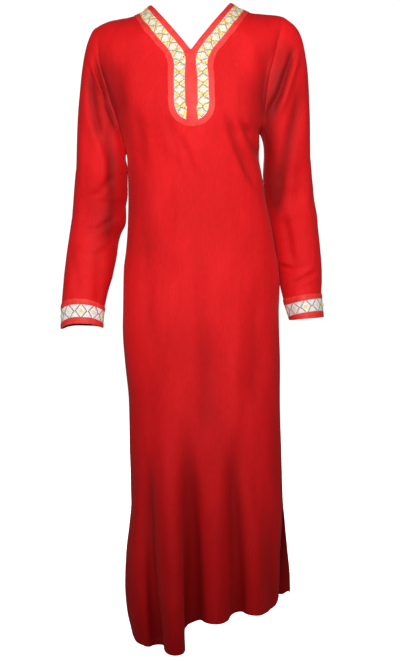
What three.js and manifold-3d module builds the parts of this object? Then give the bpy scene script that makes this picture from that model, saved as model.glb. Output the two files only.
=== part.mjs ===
// A long-sleeved pull-on abaya, filled out as it is worn, with nothing inside it.
// Millimetres, +Z up, the front towards -Y and the wearer's right side towards -X.
// The origin lies between the tops of the shoulders, where the wearer carries it.
import * as THREE from "three";
import Module from "manifold-3d";

const wasm = await Module();
wasm.setup();

// Cloth and trim thicknesses, and the gap between pieces
const CLOTH = 1.5;
const TRIM = 1;
const GAP = 0.3;

// The sharpest fold at a seam that its edges are drawn back for, as the cosine to the flat
const SHARPEST = 0.14;

// Body sections are ovals between an ellipse and a box, and turn over the shoulders on a roll
const OVAL = 2.4;
const ROLL = 60;
const ROLL_RUN = (ROLL * Math.PI) / 2;

// Grid of each panel: columns from a side seam to the centre, rows below and above the armpit
const FRONT_COLUMNS = 16;
const BACK_COLUMNS = 12;
const TRIM_COLUMNS = 4;
const SLIT_ROWS = 6;
const SKIRT_ROWS = 14;
const YOKE_ROWS = 12;
const NECK_ROW = 6;

// How much closer the columns stand at the centre than at the seams
const CROWDING = 0.35;

// Distances from the neck edge to the edges of the outer band, the ribbon and the binding,
// with one more column down the middle of the ribbon
const TRIM_EDGES = [46, 34, 22.75, 11.5, 0];
const CENTRE_EDGES = [47, 35, 23.9, 12.8, 0];
const TRIM_STARTS = { band: 0, ribbon: 1, binding: 3, neck: 4 };

// Front opening: the foot of the V, and the levels of the rows between the armpit and it
const V_FOOT = -81;
const FRONT_CENTRE_LEVELS = [-268, -235, -220, -188, -166, -134, V_FOOT];
const CORNER_LEVEL = -188;
const CORNER_START = 0;
const CORNER_POWER = 2.1;
const FOOT_DROP = 30;
const FOOT_CURVE = 0.7;

// Back neckline: a scoop below the neck points, and the rows under its outer band
const BACK_SCOOP = -68;
const BACK_CENTRE_LEVELS = [-268, -242, -216, -190, -164, -137];

// Neck points, where both necklines cross the shoulder
const NECK_POINTS = { right: -86, left: 81 };

// The level to which the folds of the skirt grow
const FOLD_FOOT = -1320;

// Small steps for slopes on the surface
const STEP = 0.01;
const WALK_STEPS = 6;

// Returns a smooth, never overshooting curve through the given places and values
function smoothCurve(places, values) {
  const last = places.length - 1;
  const slopes = [];
  for (let i = 0; i < last; i += 1) {
    slopes.push((values[i + 1] - values[i]) / (places[i + 1] - places[i]));
  }
  const tangents = places.map((place, i) => {
    if (i === 0) return slopes[0];
    if (i === last) return slopes[last - 1];
    const before = slopes[i - 1];
    const after = slopes[i];
    return before * after <= 0 ? 0 : (2 * before * after) / (before + after);
  });
  return (place) => {
    const at = THREE.MathUtils.clamp(place, places[0], places[last]);
    let i = 0;
    while (i < last - 1 && at > places[i + 1]) i += 1;
    const span = places[i + 1] - places[i];
    const t = (at - places[i]) / span;
    const rise = t * t * (3 - 2 * t);
    const start = t * (1 - t) * (1 - t) * span * tangents[i];
    const end = t * t * (t - 1) * span * tangents[i + 1];
    return values[i] + (values[i + 1] - values[i]) * rise + start + end;
  };
}

// Turns rows with named columns into one smooth reader per column, read by the first column
function table(columns, rows) {
  const sorted = [...rows].sort((a, b) => a[0] - b[0]);
  const places = sorted.map((row) => row[0]);
  const readers = {};
  columns.slice(1).forEach((name, index) => {
    readers[name] = smoothCurve(places, sorted.map((row) => row[index + 1]));
  });
  return readers;
}

// Turns rows with named columns into a list of records
function records(columns, rows) {
  return rows.map((row) => Object.fromEntries(columns.map((name, index) => [name, row[index]])));
}

// The centre line of the garment, which sways a little to the wearer's left
const CENTRE = table(["z", "x"], [
  [0, -2], [-81, -2], [-142, -1], [-218, 1], [-268, 4], [-333, 8], [-447, 15], [-569, 20],
  [-731, 22], [-906, 28], [-1040, 31], [-1219, 33], [-1345, 31],
]);

// Where the side of the body lies at each level
const SIDES = table(["z", "right", "left"], [
  [0, -216, 207],
  [-60, -212, 191],
  [-95, -207, 184],
  [-141, -192, 171],
  [-183, -177, 163],
  [-225, -160, 154],
  [-250, -151, 142],
  [-296, -138, 141],
  [-333, -136, 147],
  [-387, -135, 156],
  [-447, -137, 169],
  [-494, -141, 177],
  [-534, -146, 185],
  [-569, -147, 188],
  [-623, -148, 186],
  [-666, -149, 187],
  [-731, -145, 189],
  [-818, -137, 190],
  [-906, -135, 193],
  [-1040, -132, 198],
  [-1084, -136, 203],
  [-1152, -145, 210],
  [-1219, -148, 216],
  [-1265, -145, 217],
  [-1345, -124, 214],
]);

// How far the front and the back stand out from the side seams
const DEPTHS = table(["z", "front", "back"], [
  [0, 72, 76],
  [-50, 84, 92],
  [-100, 98, 102],
  [-150, 112, 105],
  [-210, 121, 102],
  [-260, 117, 94],
  [-350, 108, 90],
  [-450, 105, 106],
  [-560, 108, 122],
  [-700, 112, 125],
  [-900, 118, 125],
  [-1100, 126, 128],
  [-1345, 132, 134],
]);

// The chest is turned slightly to the wearer's right: the sideways slope of each level
const TURN = table(["z", "slope"], [[-600, 0], [-450, 0.03], [-250, 0.08], [0, 0.08]]);

// The line along the tops of the shoulders, up to the stand of the neckline
const SHOULDER = table(["x", "z"], [
  [-216, -36], [-200, -25], [-171, -13], [-123, -4], [-105, 3], [-86, 18], [-40, 22], [0, 24],
  [40, 23], [81, 20], [100, 9], [126, 0], [165, -3], [190, -7], [207, -14],
]);

// The armhole seams, from the tip of the shoulder to the armpit
const ARMHOLES = {
  right: table(["z", "x"], [
    [-25, -200], [-65, -196], [-97, -193], [-142, -181], [-183, -169], [-225, -155],
    [-263, -145], [-290, -138],
  ]),
  left: table(["z", "x"], [
    [-7, 190], [-45, 181], [-79, 173], [-132, 160], [-181, 153], [-215, 149], [-235, 145],
    [-250, 142],
  ]),
};
const SHOULDER_TIPS = { right: -25, left: -7 };
const ARMPITS = { right: -290, left: -250 };

// The side seams end in slits, below which each panel has its own side edge
const SLIT_TOP = -1040;
const SLITS = table(["z", "frontLeftIn", "backRightIn", "open"], [
  [-1345, 28, 12, 24],
  [-1260, 29, 10, 22],
  [-1152, 20, 6, 16],
  [-1090, 9, 2, 8],
  [-1040, 0, 0, 0],
]);

// Levels of the hem along the front and the back
const HEMS = {
  front: table(["x", "z"], [
    [-135, -1320], [-112, -1333], [-80, -1334], [-62, -1326], [-42, -1329], [-22, -1328],
    [-12, -1318], [-2, -1292], [10, -1276], [24, -1271], [77, -1269], [101, -1257],
    [164, -1262], [180, -1258], [190, -1243],
  ]),
  back: table(["x", "z"], [
    [-150, -1318], [-60, -1306], [60, -1292], [150, -1281], [200, -1277], [218, -1255],
  ]),
};

// Folds of the skirt: each starts at a level and place, and grows down to the hem
const FOLD_COLUMNS = ["startZ", "startX", "hemX", "startWidth", "hemWidth", "height", "lean"];
const FOLDS = {
  front: records(FOLD_COLUMNS, [
    [-640, -58, -44, 44, 22, 42, 6],
    [-1000, -86, -76, 16, 11, -14, 0],
    [-980, -104, -102, 26, 20, 8, 0],
    [-930, -4, 2, 20, 15, -22, 0],
    [-860, 44, 50, 30, 20, 13, 0],
    [-1000, 88, 93, 18, 13, -13, 0],
    [-940, 130, 136, 26, 19, 9, 0],
  ]),
  back: records(FOLD_COLUMNS, [
    [-620, -84, -96, 34, 22, 15, 0],
    [-760, -34, -42, 26, 18, -15, 0],
    [-680, 20, 12, 34, 22, 19, 0],
    [-800, 70, 72, 26, 18, -14, 0],
    [-720, 120, 132, 34, 24, 14, 0],
  ]),
};

// A shallow hollow over the knee, where the front falls back between two folds
const KNEE = { x: 45, z: -765, width: 26, length: 95, depth: 7 };

// Sleeves: centre line, half width across the arm and half depth through it, at each level
const SLEEVES = {
  right: table(["z", "x", "y", "across", "through"], [
    [-322, -192, 18, 55, 55],
    [-346, -194, 24, 56.5, 56],
    [-388, -196.5, 31, 58.5, 55],
    [-420, -200, 30, 58, 53],
    [-452, -207, 24, 55, 51],
    [-494, -213.5, 13, 54, 48],
    [-536, -220, 0, 52, 45],
    [-576, -227.5, -13, 48, 42],
    [-617, -232, -25, 45.5, 39.5],
    [-651, -233, -35, 44, 37.5],
  ]),
  left: table(["z", "x", "y", "across", "through"], [
    [-297, 202, 14, 49, 54],
    [-333, 203, 22, 52, 54],
    [-367, 206, 26, 53, 54],
    [-397, 210.5, 29, 52, 53],
    [-431, 217.5, 30, 52, 52],
    [-453, 221, 30, 50.5, 51],
    [-496, 227.5, 29, 49, 49],
    [-536, 232.5, 26, 47.5, 47],
    [-570, 235, 20, 45.5, 45.5],
    [-598, 238, 14, 41.5, 44.5],
    [-624, 243, 9, 38.5, 44],
    [-642, 246, 5, 35.5, 43.5],
  ]),
};
const SLEEVE_ENDS = {
  right: { top: -322, foot: -650 },
  left: { top: -297, foot: -642 },
};
const CAP_ROWS = 8;
const ARM_ROWS = 9;
const CUFF_EDGES = [46.5, 35, 9.3, 0];

// How far the cuff hangs lower at its outer and inner side than at its middle
const CUFF_DROPS = { right: { outer: 10, inner: 6.5 }, left: { outer: 0, inner: 0 } };
const DROP_START = 190;
const DROP_RUN = 140;

// How the sleeve heads leave the seam: at the shoulder, under the arm, and into the arm's tube
const HEADS = {
  right: { tipOut: 0.92, tipDown: 0.4, tipLength: 118, underOut: 0.5, underDown: 0.87, underLength: 28, tipFinish: 0.9 },
  left: { tipOut: 0.9, tipDown: 0.43, tipLength: 119, underOut: 0.8, underDown: 0.6, underLength: 36, tipFinish: 2.6 },
};
const UNDER_FINISH = 0.9;

// Folds of the sleeves: soft creases at the elbow, set at a level and a way round the arm
const CREASE_COLUMNS = ["z", "around", "length", "spread", "depth"];
const CREASES = {
  right: records(CREASE_COLUMNS, [
    [-395, 150, 13, 50, -3.5],
    [-430, 165, 12, 45, 3],
    [-470, 140, 14, 50, -2.5],
    [-548, 120, 12, 60, -2],
  ]),
  left: records(CREASE_COLUMNS, [
    [-372, 95, 15, 45, -3],
    [-415, 120, 15, 45, 2.5],
    [-545, 110, 12, 55, -3],
    [-580, 100, 11, 60, -2.5],
  ]),
};

// Stones: round glass domes in pairs along the ribbon, seated a little way into it
const STONE = { width: 6.2, height: 2.2, seat: 0.4, inset: 0.21, sides: 6, top: 0.55 };
const REPEAT = 23.6;
const CUFF_REPEATS = 10;

// Materials
const CLOTH_RED = new THREE.MeshStandardMaterial({ color: 0xc8161c, roughness: 0.85, metalness: 0 });
const BAND_CORAL = new THREE.MeshStandardMaterial({ color: 0xe8403c, roughness: 0.5, metalness: 0 });
const RIBBON_WHITE = new THREE.MeshStandardMaterial({ color: 0xf0ece2, roughness: 0.6, metalness: 0 });

const SIDE_NAMES = ["right", "left"];

function mix(a, b, t) {
  return a + (b - a) * t;
}

function grow(t) {
  const within = THREE.MathUtils.clamp(t, 0, 1);
  return within * within * (3 - 2 * within);
}

// How far across an oval an angle lies, from -1 at the right seam to 1 at the left seam
function across(angle) {
  const cosine = Math.cos(angle);
  return -Math.sign(cosine) * Math.abs(cosine) ** (2 / OVAL);
}

// How far out from the seams an angle lies, from 0 at a seam to 1 at the centre
function outward(angle) {
  return Math.max(Math.sin(angle), 0) ** (2 / OVAL);
}

function sideX(face, angle, z) {
  const centre = CENTRE.x(z);
  if (across(angle) < 0) {
    const inset = face === "back" ? SLITS.backRightIn(z) : 0;
    return centre + (centre - SIDES.right(z) - inset) * across(angle);
  }
  const inset = face === "front" ? SLITS.frontLeftIn(z) : 0;
  return centre + (SIDES.left(z) - inset - centre) * across(angle);
}

function angleAt(face, x, z) {
  const centre = CENTRE.x(z);
  const reach = x < centre ? centre - SIDES.right(z) : SIDES.left(z) - centre;
  const share = Math.min(Math.abs(x - centre) / reach, 1);
  const fromSeam = Math.acos(share ** (OVAL / 2));
  return x < centre ? fromSeam : Math.PI - fromSeam;
}

function foldsAt(face, x, z) {
  const shift = { out: 0, aside: 0 };
  for (const fold of FOLDS[face]) {
    const t = THREE.MathUtils.clamp((fold.startZ - z) / (fold.startZ - FOLD_FOOT), 0, 1);
    const width = mix(fold.startWidth, fold.hemWidth, t);
    const distance = (x - mix(fold.startX, fold.hemX, t)) / width;
    const bump = Math.exp(-distance * distance) * grow(t);
    shift.out += fold.height * bump;
    shift.aside += fold.lean * bump;
  }
  if (face === "front") {
    const aside = (x - KNEE.x) / KNEE.width;
    const along = (z - KNEE.z) / KNEE.length;
    shift.out -= KNEE.depth * Math.exp(-aside * aside - along * along);
  }
  return shift;
}

// A point of the body's outer surface
function bodyPoint(face, angle, z, roll = 1) {
  const forward = face === "front" ? -1 : 1;
  const x = sideX(face, angle, z);
  const fullness = outward(angle);
  const folds = foldsAt(face, x, z);
  const depth = DEPTHS[face](z) * fullness * roll;
  const parted = SLITS.open(z) * (1 - fullness);
  const y = forward * (depth + parted + folds.out * fullness) - x * TURN.slope(z);
  return new THREE.Vector3(x + folds.aside * fullness, y, z);
}

function shoulderTop(angle) {
  return SHOULDER.z(sideX("front", angle, 0));
}

// A point above the armpits, by its angle and its way down from the top of the shoulder
function yokePoint(face, place) {
  const rolled = Math.min(place.run / ROLL, Math.PI / 2);
  const below = Math.max(place.run - ROLL_RUN, 0);
  const fall = ROLL * (1 - Math.cos(rolled)) + below;
  return bodyPoint(face, place.angle, shoulderTop(place.angle) - fall, Math.sin(rolled));
}

function placeAt(face, x, z) {
  const angle = angleAt(face, x, z);
  return { angle, run: runAt(angle, z) };
}

function runAt(angle, z) {
  const fall = Math.max(shoulderTop(angle) - z, 0);
  return fall < ROLL ? ROLL * Math.acos(1 - fall / ROLL) : ROLL_RUN + fall - ROLL;
}

function mixPlace(from, to, t) {
  return { angle: mix(from.angle, to.angle, t), run: mix(from.run, to.run, t) };
}

// The slopes of the yoke surface along its angle and along its run
function slopesAt(face, place) {
  const here = yokePoint(face, place);
  const turned = yokePoint(face, { angle: place.angle + STEP / ROLL, run: place.run });
  const lowered = yokePoint(face, { angle: place.angle, run: place.run + STEP });
  return {
    byAngle: turned.sub(here).multiplyScalar(ROLL / STEP),
    byRun: lowered.sub(here).multiplyScalar(1 / STEP),
  };
}

// Walks over the yoke surface from a place, in a direction, for a distance
function walk(face, start, direction, distance) {
  let place = start;
  const stride = direction.clone().setLength(distance / WALK_STEPS);
  for (let i = 0; i < WALK_STEPS; i += 1) {
    const { byAngle, byRun } = slopesAt(face, place);
    const aa = byAngle.dot(byAngle);
    const ar = byAngle.dot(byRun);
    const rr = byRun.dot(byRun);
    const determinant = aa * rr - ar * ar;
    const a = byAngle.dot(stride);
    const r = byRun.dot(stride);
    place = {
      angle: place.angle + (a * rr - r * ar) / determinant,
      run: place.run + (r * aa - a * ar) / determinant,
    };
  }
  return place;
}

// Places evenly spaced by length along a curve of places, both ends included
function evenPlaces(face, curve, count) {
  const samples = 240;
  const places = [];
  const lengths = [0];
  for (let i = 0; i <= samples; i += 1) {
    places.push(curve((i / samples) ** 2));
    if (i === 0) continue;
    const stride = yokePoint(face, places[i]).distanceTo(yokePoint(face, places[i - 1]));
    lengths.push(lengths[i - 1] + stride);
  }
  const chosen = [];
  let i = 0;
  for (let k = 0; k <= count; k += 1) {
    const target = (lengths[samples] * k) / count;
    while (i < samples - 1 && lengths[i + 1] < target) i += 1;
    const t = (target - lengths[i]) / (lengths[i + 1] - lengths[i]);
    chosen.push(mixPlace(places[i], places[i + 1], t));
  }
  return chosen;
}

// The armhole seam of one face, from the armpit up to the tip of the shoulder
function armholePlaces(face, side) {
  const seam = side === "right" ? 0 : Math.PI;
  const curve = (t) => {
    const z = mix(SHOULDER_TIPS[side], ARMPITS[side], t);
    const place = placeAt(face, ARMHOLES[side].x(z), z);
    if (t === 0) return { angle: place.angle, run: 0 };
    return t === 1 ? { angle: seam, run: place.run } : place;
  };
  return evenPlaces(face, curve, YOKE_ROWS).reverse();
}

// The neck edge of one face, from its foot at the centre up to the neck point
function neckPlaces(face, side) {
  const pointX = NECK_POINTS[side];
  const pointZ = SHOULDER.z(pointX);
  const centre = CENTRE.x(V_FOOT);
  const straight = (t) => placeAt(face, mix(pointX, centre, t), mix(pointZ, V_FOOT, t));
  const scoop = (t) => {
    const turn = (t * Math.PI) / 2;
    const x = mix(centre, pointX, Math.cos(turn));
    return placeAt(face, x, mix(pointZ, BACK_SCOOP, Math.sin(turn)));
  };
  const curve = (t) => {
    const place = face === "front" ? straight(t) : scoop(t);
    return t === 0 ? { angle: place.angle, run: 0 } : place;
  };
  return evenPlaces(face, curve, YOKE_ROWS - NECK_ROW).reverse();
}

// Rounds the lower corners of the trim: squares about the corner's start become round ones
function trimPlaceBelow(face, side, distance, level) {
  const aside = Math.max(distance - CORNER_START, 0);
  const down = Math.max(CORNER_LEVEL - level, 0);
  const round = (aside ** CORNER_POWER + down ** CORNER_POWER) ** (1 / CORNER_POWER);
  const keep = round > 0 ? Math.max(aside, down) / round : 1;
  const offset = Math.min(distance, CORNER_START) + aside * keep;
  const z = level > CORNER_LEVEL ? level : CORNER_LEVEL - down * keep;
  const outwards = side === "right" ? -1 : 1;
  return placeAt(face, CENTRE.x(z) + outwards * offset, z);
}

// Places at the trim's edges, going in to the neck edge, on a row that starts there
function trimPlaces(face, side, neck, row) {
  const outwards = side === "right" ? -1 : 1;
  const start = neck[row - NECK_ROW];
  const top = row === YOKE_ROWS;
  const { byAngle, byRun } = slopesAt(top ? "front" : face, start);
  const before = yokePoint(face, neck[Math.max(row - NECK_ROW - 1, 0)]);
  const after = yokePoint(face, neck[Math.min(row - NECK_ROW + 1, YOKE_ROWS - NECK_ROW)]);
  const along = after.sub(before).normalize();
  const normal = byAngle.clone().cross(byRun).normalize();
  let crossing = normal.cross(along).normalize();
  const foot = row === NECK_ROW;
  if (top) crossing = byAngle.clone().normalize();
  if (foot && face === "back") crossing = byRun.clone().normalize();
  const away = foot ? new THREE.Vector3(0, 0, -1) : new THREE.Vector3(outwards, 0, 0);
  if (crossing.dot(away) < 0) crossing.negate();
  return TRIM_EDGES.map((distance) => {
    if (distance === 0) return start;
    if (foot && face === "front") {
      const drop = FOOT_DROP * (distance / TRIM_EDGES[0]) ** FOOT_CURVE;
      return placeAt(face, CENTRE.x(V_FOOT) + outwards * distance, V_FOOT - drop);
    }
    const place = walk(top ? "front" : face, start, crossing, distance);
    if (foot && face === "back") return { angle: Math.PI / 2, run: place.run };
    return top ? { angle: place.angle, run: 0 } : place;
  });
}

// The rows of one half of a panel above the armpit, each from the armhole in to the centre
function yokeRows(face, side) {
  const armhole = armholePlaces(face, side);
  const neck = neckPlaces(face, side);
  const columns = face === "front" ? FRONT_COLUMNS - TRIM_COLUMNS : BACK_COLUMNS;
  const rows = [];
  for (let row = 0; row <= YOKE_ROWS; row += 1) {
    const hasTrim = row >= NECK_ROW || (face === "front" && row > 0);
    if (!hasTrim) {
      rows.push(plainRow(face, armhole[row], row));
      continue;
    }
    const level = FRONT_CENTRE_LEVELS[row];
    const trim = row >= NECK_ROW
      ? trimPlaces(face, side, neck, row)
      : CENTRE_EDGES.map((distance) => trimPlaceBelow(face, side, distance, level));
    const places = trim.slice(1);
    for (let column = columns; column >= 0; column -= 1) {
      places.unshift(mixPlace(armhole[row], trim[0], column / columns));
    }
    rows.push(places);
  }
  return rows.map((places) => places.map((place) => yokePoint(face, place)));
}

// How far a column lies towards the centre, as a share of the turn between seam and centre
function columnShare(t) {
  return t + (CROWDING * Math.sin(Math.PI * t)) / Math.PI;
}

// A row with no trim: its angles are those of the skirt's columns at the armpit
function plainRow(face, edge, row) {
  const columns = face === "front" ? FRONT_COLUMNS : BACK_COLUMNS;
  const levels = face === "front" ? FRONT_CENTRE_LEVELS : BACK_CENTRE_LEVELS;
  const edgeTop = yokePoint(face, edge).z;
  const places = [];
  for (let column = 0; column <= columns; column += 1) {
    const t = column / columns;
    const angle = mix(edge.angle, Math.PI / 2, columnShare(t));
    places.push({ angle, run: runAt(angle, mix(edgeTop, levels[row], t)) });
  }
  return places;
}

// Joins the two halves of a row into one that runs from the right side to the left
function wholeRow(rightRow, leftRow) {
  return [...rightRow, ...[...leftRow].reverse().slice(1)];
}

// The rows of the skirt: from the hem up to the slits, and on up to the armpits
function skirtRows(face, armpitRow) {
  const rows = [];
  const last = armpitRow.length - 1;
  const angles = armpitRow.map((top, column) => {
    const share = columnShare(1 - Math.abs(1 - (2 * column) / last));
    return column * 2 <= last ? (share * Math.PI) / 2 : Math.PI - (share * Math.PI) / 2;
  });
  for (let row = 0; row < SLIT_ROWS; row += 1) {
    rows.push(angles.map((angle) => {
      let level = FOLD_FOOT;
      for (let pass = 0; pass < 3; pass += 1) level = HEMS[face].z(sideX(face, angle, level));
      return bodyPoint(face, angle, mix(level, SLIT_TOP, row / SLIT_ROWS));
    }));
  }
  for (let row = 0; row < SKIRT_ROWS; row += 1) {
    const climb = row / SKIRT_ROWS;
    rows.push(armpitRow.map((top, column) => (
      bodyPoint(face, angles[column], mix(SLIT_TOP, top.z, climb))
    )));
  }
  rows.push(armpitRow);
  return rows;
}

// A panel's surface: the skirt, and above it the yoke in two halves
function panelSurface(face) {
  const halves = { right: yokeRows(face, "right"), left: yokeRows(face, "left") };
  const flip = face === "back";
  const armpitRow = wholeRow(halves.right[0], halves.left[0]);
  const patches = [{ rows: skirtRows(face, armpitRow), flip }];
  const split = face === "front" ? 0 : NECK_ROW;
  if (split > 0) {
    const plain = [];
    for (let row = 0; row < split; row += 1) {
      plain.push(wholeRow(halves.right[row], halves.left[row]));
    }
    const shortRight = halves.right[split].slice(0, BACK_COLUMNS + 1);
    const shortLeft = halves.left[split].slice(0, BACK_COLUMNS + 1);
    plain.push(wholeRow(shortRight, shortLeft));
    patches.push({ rows: plain, flip });
  }
  patches.push({ rows: halves.right.slice(split), flip });
  patches.push({ rows: halves.left.slice(split), flip: !flip });
  return { halves, patches, flip };
}

// The frame of a sleeve's section at a level: its centre and its two axes
function sleeveFrame(side, z) {
  const sleeve = SLEEVES[side];
  const centre = (level) => new THREE.Vector3(sleeve.x(level), sleeve.y(level), level);
  const reach = 8;
  const down = centre(z - reach).sub(centre(z + reach)).normalize();
  const outwards = new THREE.Vector3(side === "right" ? -1 : 1, 0, 0);
  outwards.addScaledVector(down, -outwards.dot(down)).normalize();
  const forwards = new THREE.Vector3(0, -1, 0);
  forwards.addScaledVector(down, -forwards.dot(down));
  forwards.addScaledVector(outwards, -forwards.dot(outwards)).normalize();
  return { centre: centre(z), down, outwards, forwards };
}

function creaseAt(side, z, around) {
  let out = 0;
  for (const crease of CREASES[side]) {
    const along = (z - crease.z) / crease.length;
    const turned = (around - crease.around) / crease.spread;
    out += crease.depth * Math.exp(-along * along - turned * turned);
  }
  return out;
}

// How far a point of the sleeve hangs below its level, near the cuff
function dropAt(side, z, turn) {
  const near = THREE.MathUtils.smoothstep(SLEEVE_ENDS[side].foot + DROP_START - z, 0, DROP_RUN);
  const turned = Math.cos(turn);
  const { outer, inner } = CUFF_DROPS[side];
  return near * (outer * Math.max(turned, 0) ** 3 + inner * Math.max(-turned, 0) ** 3);
}

// A point of a sleeve's section, by its turn from the outer side round to the front
function sleevePoint(side, z, turn) {
  const { centre, down, outwards, forwards } = sleeveFrame(side, z);
  const drop = dropAt(side, z, turn);
  const out = creaseAt(side, z, THREE.MathUtils.radToDeg(turn));
  const point = centre.addScaledVector(down, drop);
  point.addScaledVector(outwards, (SLEEVES[side].across(z) + out) * Math.cos(turn));
  return point.addScaledVector(forwards, (SLEEVES[side].through(z) + out) * Math.sin(turn));
}

// One curve of the sleeve head, from the armhole seam down to the top of the arm's tube
function headCurve(side, seamPoint, turn) {
  const { top } = SLEEVE_ENDS[side];
  const end = sleevePoint(side, top, turn);
  const { down } = sleeveFrame(side, top);
  const high = (1 + Math.cos(turn)) / 2;
  const outwards = side === "right" ? -1 : 1;
  const head = HEADS[side];
  const out = outwards * mix(head.underOut, head.tipOut, high);
  const start = new THREE.Vector3(out, 0, -mix(head.underDown, head.tipDown, high));
  const span = end.distanceTo(seamPoint);
  start.setLength(Math.min(mix(head.underLength, head.tipLength, high * high), span));
  const ending = mix(UNDER_FINISH, head.tipFinish, high * high);
  const finish = down.clone().setLength(ending * span);
  return (t) => {
    const point = seamPoint.clone().multiplyScalar(2 * t ** 3 - 3 * t ** 2 + 1);
    point.addScaledVector(start, t ** 3 - 2 * t ** 2 + t);
    point.addScaledVector(end, 3 * t ** 2 - 2 * t ** 3);
    return point.addScaledVector(finish, t ** 3 - t ** 2);
  };
}

// The turns of a sleeve's columns, which start at the top of the armhole and go to the front
function sleeveTurns() {
  const count = 2 * YOKE_ROWS;
  return Array.from({ length: count }, (unused, index) => (2 * Math.PI * index) / count);
}

// A sleeve's surface: rings from the armhole to the cuff, and the last rings at the trim's edges
function sleeveSurface(side, frontHalf, backHalf) {
  const fromTip = frontHalf.map((row) => row[0]).reverse();
  const toTip = backHalf.map((row) => row[0]).slice(1, YOKE_ROWS);
  const seam = [...fromTip, ...toTip];
  const turns = sleeveTurns();
  const curves = seam.map((point, index) => headCurve(side, point, turns[index]));
  const rows = [];
  for (let row = 0; row < CAP_ROWS; row += 1) {
    rows.push(curves.map((curve) => curve(row / CAP_ROWS)));
  }
  const { top, foot } = SLEEVE_ENDS[side];
  const { down } = sleeveFrame(side, foot);
  const cuffTop = foot - down.z * CUFF_EDGES[0];
  for (let row = 0; row < ARM_ROWS; row += 1) {
    const z = mix(top, cuffTop, row / ARM_ROWS);
    rows.push(turns.map((turn) => sleevePoint(side, z, turn)));
  }
  for (const edge of CUFF_EDGES) {
    rows.push(turns.map((turn) => sleevePoint(side, foot - down.z * edge, turn)));
  }
  const closed = rows.map((ring) => [...ring, ring[0]]);
  return { patches: [{ rows: closed, flip: side === "right" }], rows: closed };
}

function pointKey(point) {
  return [point.x, point.y, point.z].map((value) => Math.round(value * 1000)).join(",");
}

// Splits a grid of points into triangles whose faces look out of the garment
function gridTriangles({ rows, flip }) {
  const triangles = [];
  for (let i = 0; i + 1 < rows.length; i += 1) {
    for (let j = 0; j + 1 < rows[i].length; j += 1) {
      const corners = [rows[i][j], rows[i][j + 1], rows[i + 1][j + 1], rows[i + 1][j]];
      const first = [corners[0], corners[1], corners[2]];
      const second = [corners[0], corners[2], corners[3]];
      triangles.push(flip ? first.reverse() : first, flip ? second.reverse() : second);
    }
  }
  return triangles.filter(([a, b, c]) => new Set([a, b, c].map(pointKey)).size === 3);
}

function triangleNormal([a, b, c]) {
  return b.clone().sub(a).cross(c.clone().sub(a));
}

// The outward direction at every point of some patches, shared where they meet
function pointNormals(patches) {
  const normals = new Map();
  for (const triangle of patches.flatMap(gridTriangles)) {
    const normal = triangleNormal(triangle).normalize();
    triangle.forEach((point, index) => {
      const next = triangle[(index + 1) % 3].clone().sub(point);
      const last = triangle[(index + 2) % 3].clone().sub(point);
      const key = pointKey(point);
      if (!normals.has(key)) normals.set(key, new THREE.Vector3());
      normals.get(key).addScaledVector(normal, next.angleTo(last));
    });
  }
  normals.forEach((normal) => normal.normalize());
  return normals;
}

// The open edges of a surface, each in the order of the triangle that it belongs to
function openEdges(triangles) {
  const edges = new Map();
  for (const triangle of triangles) {
    for (let i = 0; i < 3; i += 1) {
      const from = pointKey(triangle[i]);
      const to = pointKey(triangle[(i + 1) % 3]);
      if (edges.has(`${to} ${from}`)) edges.delete(`${to} ${from}`);
      else edges.set(`${from} ${to}`, { from, to, triangle, start: i });
    }
  }
  return [...edges.values()];
}

// Half the seam gap, inwards along the surface, at each point on an open edge.
// Where the cloth folds sharply at a seam the edge is drawn back further, to keep the gap.
function pullBacks(edges, ownNormals, normals) {
  const pulls = new Map();
  for (const { from, to, triangle, start } of edges) {
    const along = triangle[(start + 1) % 3].clone().sub(triangle[start]);
    const inwards = triangleNormal(triangle).cross(along).normalize();
    for (const key of [from, to]) {
      if (!pulls.has(key)) pulls.set(key, new THREE.Vector3());
      pulls.get(key).add(inwards);
    }
  }
  pulls.forEach((pull, key) => {
    const flatness = Math.max(ownNormals.get(key).dot(normals.get(key)), SHARPEST);
    pull.setLength(GAP / 2 / flatness);
  });
  return pulls;
}

// A closed wall between two distances out from a surface, with its edges drawn back
function wallGeometry(patches, normals, inner, outer) {
  const triangles = patches.flatMap(gridTriangles);
  const edges = openEdges(triangles);
  const pulls = pullBacks(edges, pointNormals(patches), normals);
  const numbers = new Map();
  const positions = [];
  for (const point of triangles.flat()) {
    const key = pointKey(point);
    if (numbers.has(key)) continue;
    numbers.set(key, numbers.size);
    const base = point.clone().add(pulls.get(key) ?? new THREE.Vector3());
    const normal = normals.get(key);
    positions.push(...base.clone().addScaledVector(normal, outer).toArray());
    positions.push(...base.addScaledVector(normal, inner).toArray());
  }
  const faces = [];
  for (const triangle of triangles) {
    const [a, b, c] = triangle.map((point) => numbers.get(pointKey(point)));
    faces.push(2 * a, 2 * b, 2 * c, 2 * c + 1, 2 * b + 1, 2 * a + 1);
  }
  for (const { from, to } of edges) {
    const a = numbers.get(from);
    const b = numbers.get(to);
    faces.push(2 * b, 2 * a, 2 * a + 1, 2 * b, 2 * a + 1, 2 * b + 1);
  }
  const geometry = new THREE.BufferGeometry();
  geometry.setAttribute("position", new THREE.Float32BufferAttribute(positions, 3));
  geometry.setIndex(faces);
  return geometry;
}

function toSolid(geometry) {
  const mesh = new wasm.Mesh({
    numProp: 3,
    vertProperties: geometry.attributes.position.array,
    triVerts: Uint32Array.from(geometry.index.array),
  });
  return new wasm.Manifold(mesh);
}

function toGeometry(solid) {
  const mesh = solid.getMesh();
  const geometry = new THREE.BufferGeometry();
  geometry.setAttribute("position", new THREE.BufferAttribute(mesh.vertProperties, 3));
  geometry.setIndex(new THREE.BufferAttribute(mesh.triVerts, 1));
  return geometry;
}

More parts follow.
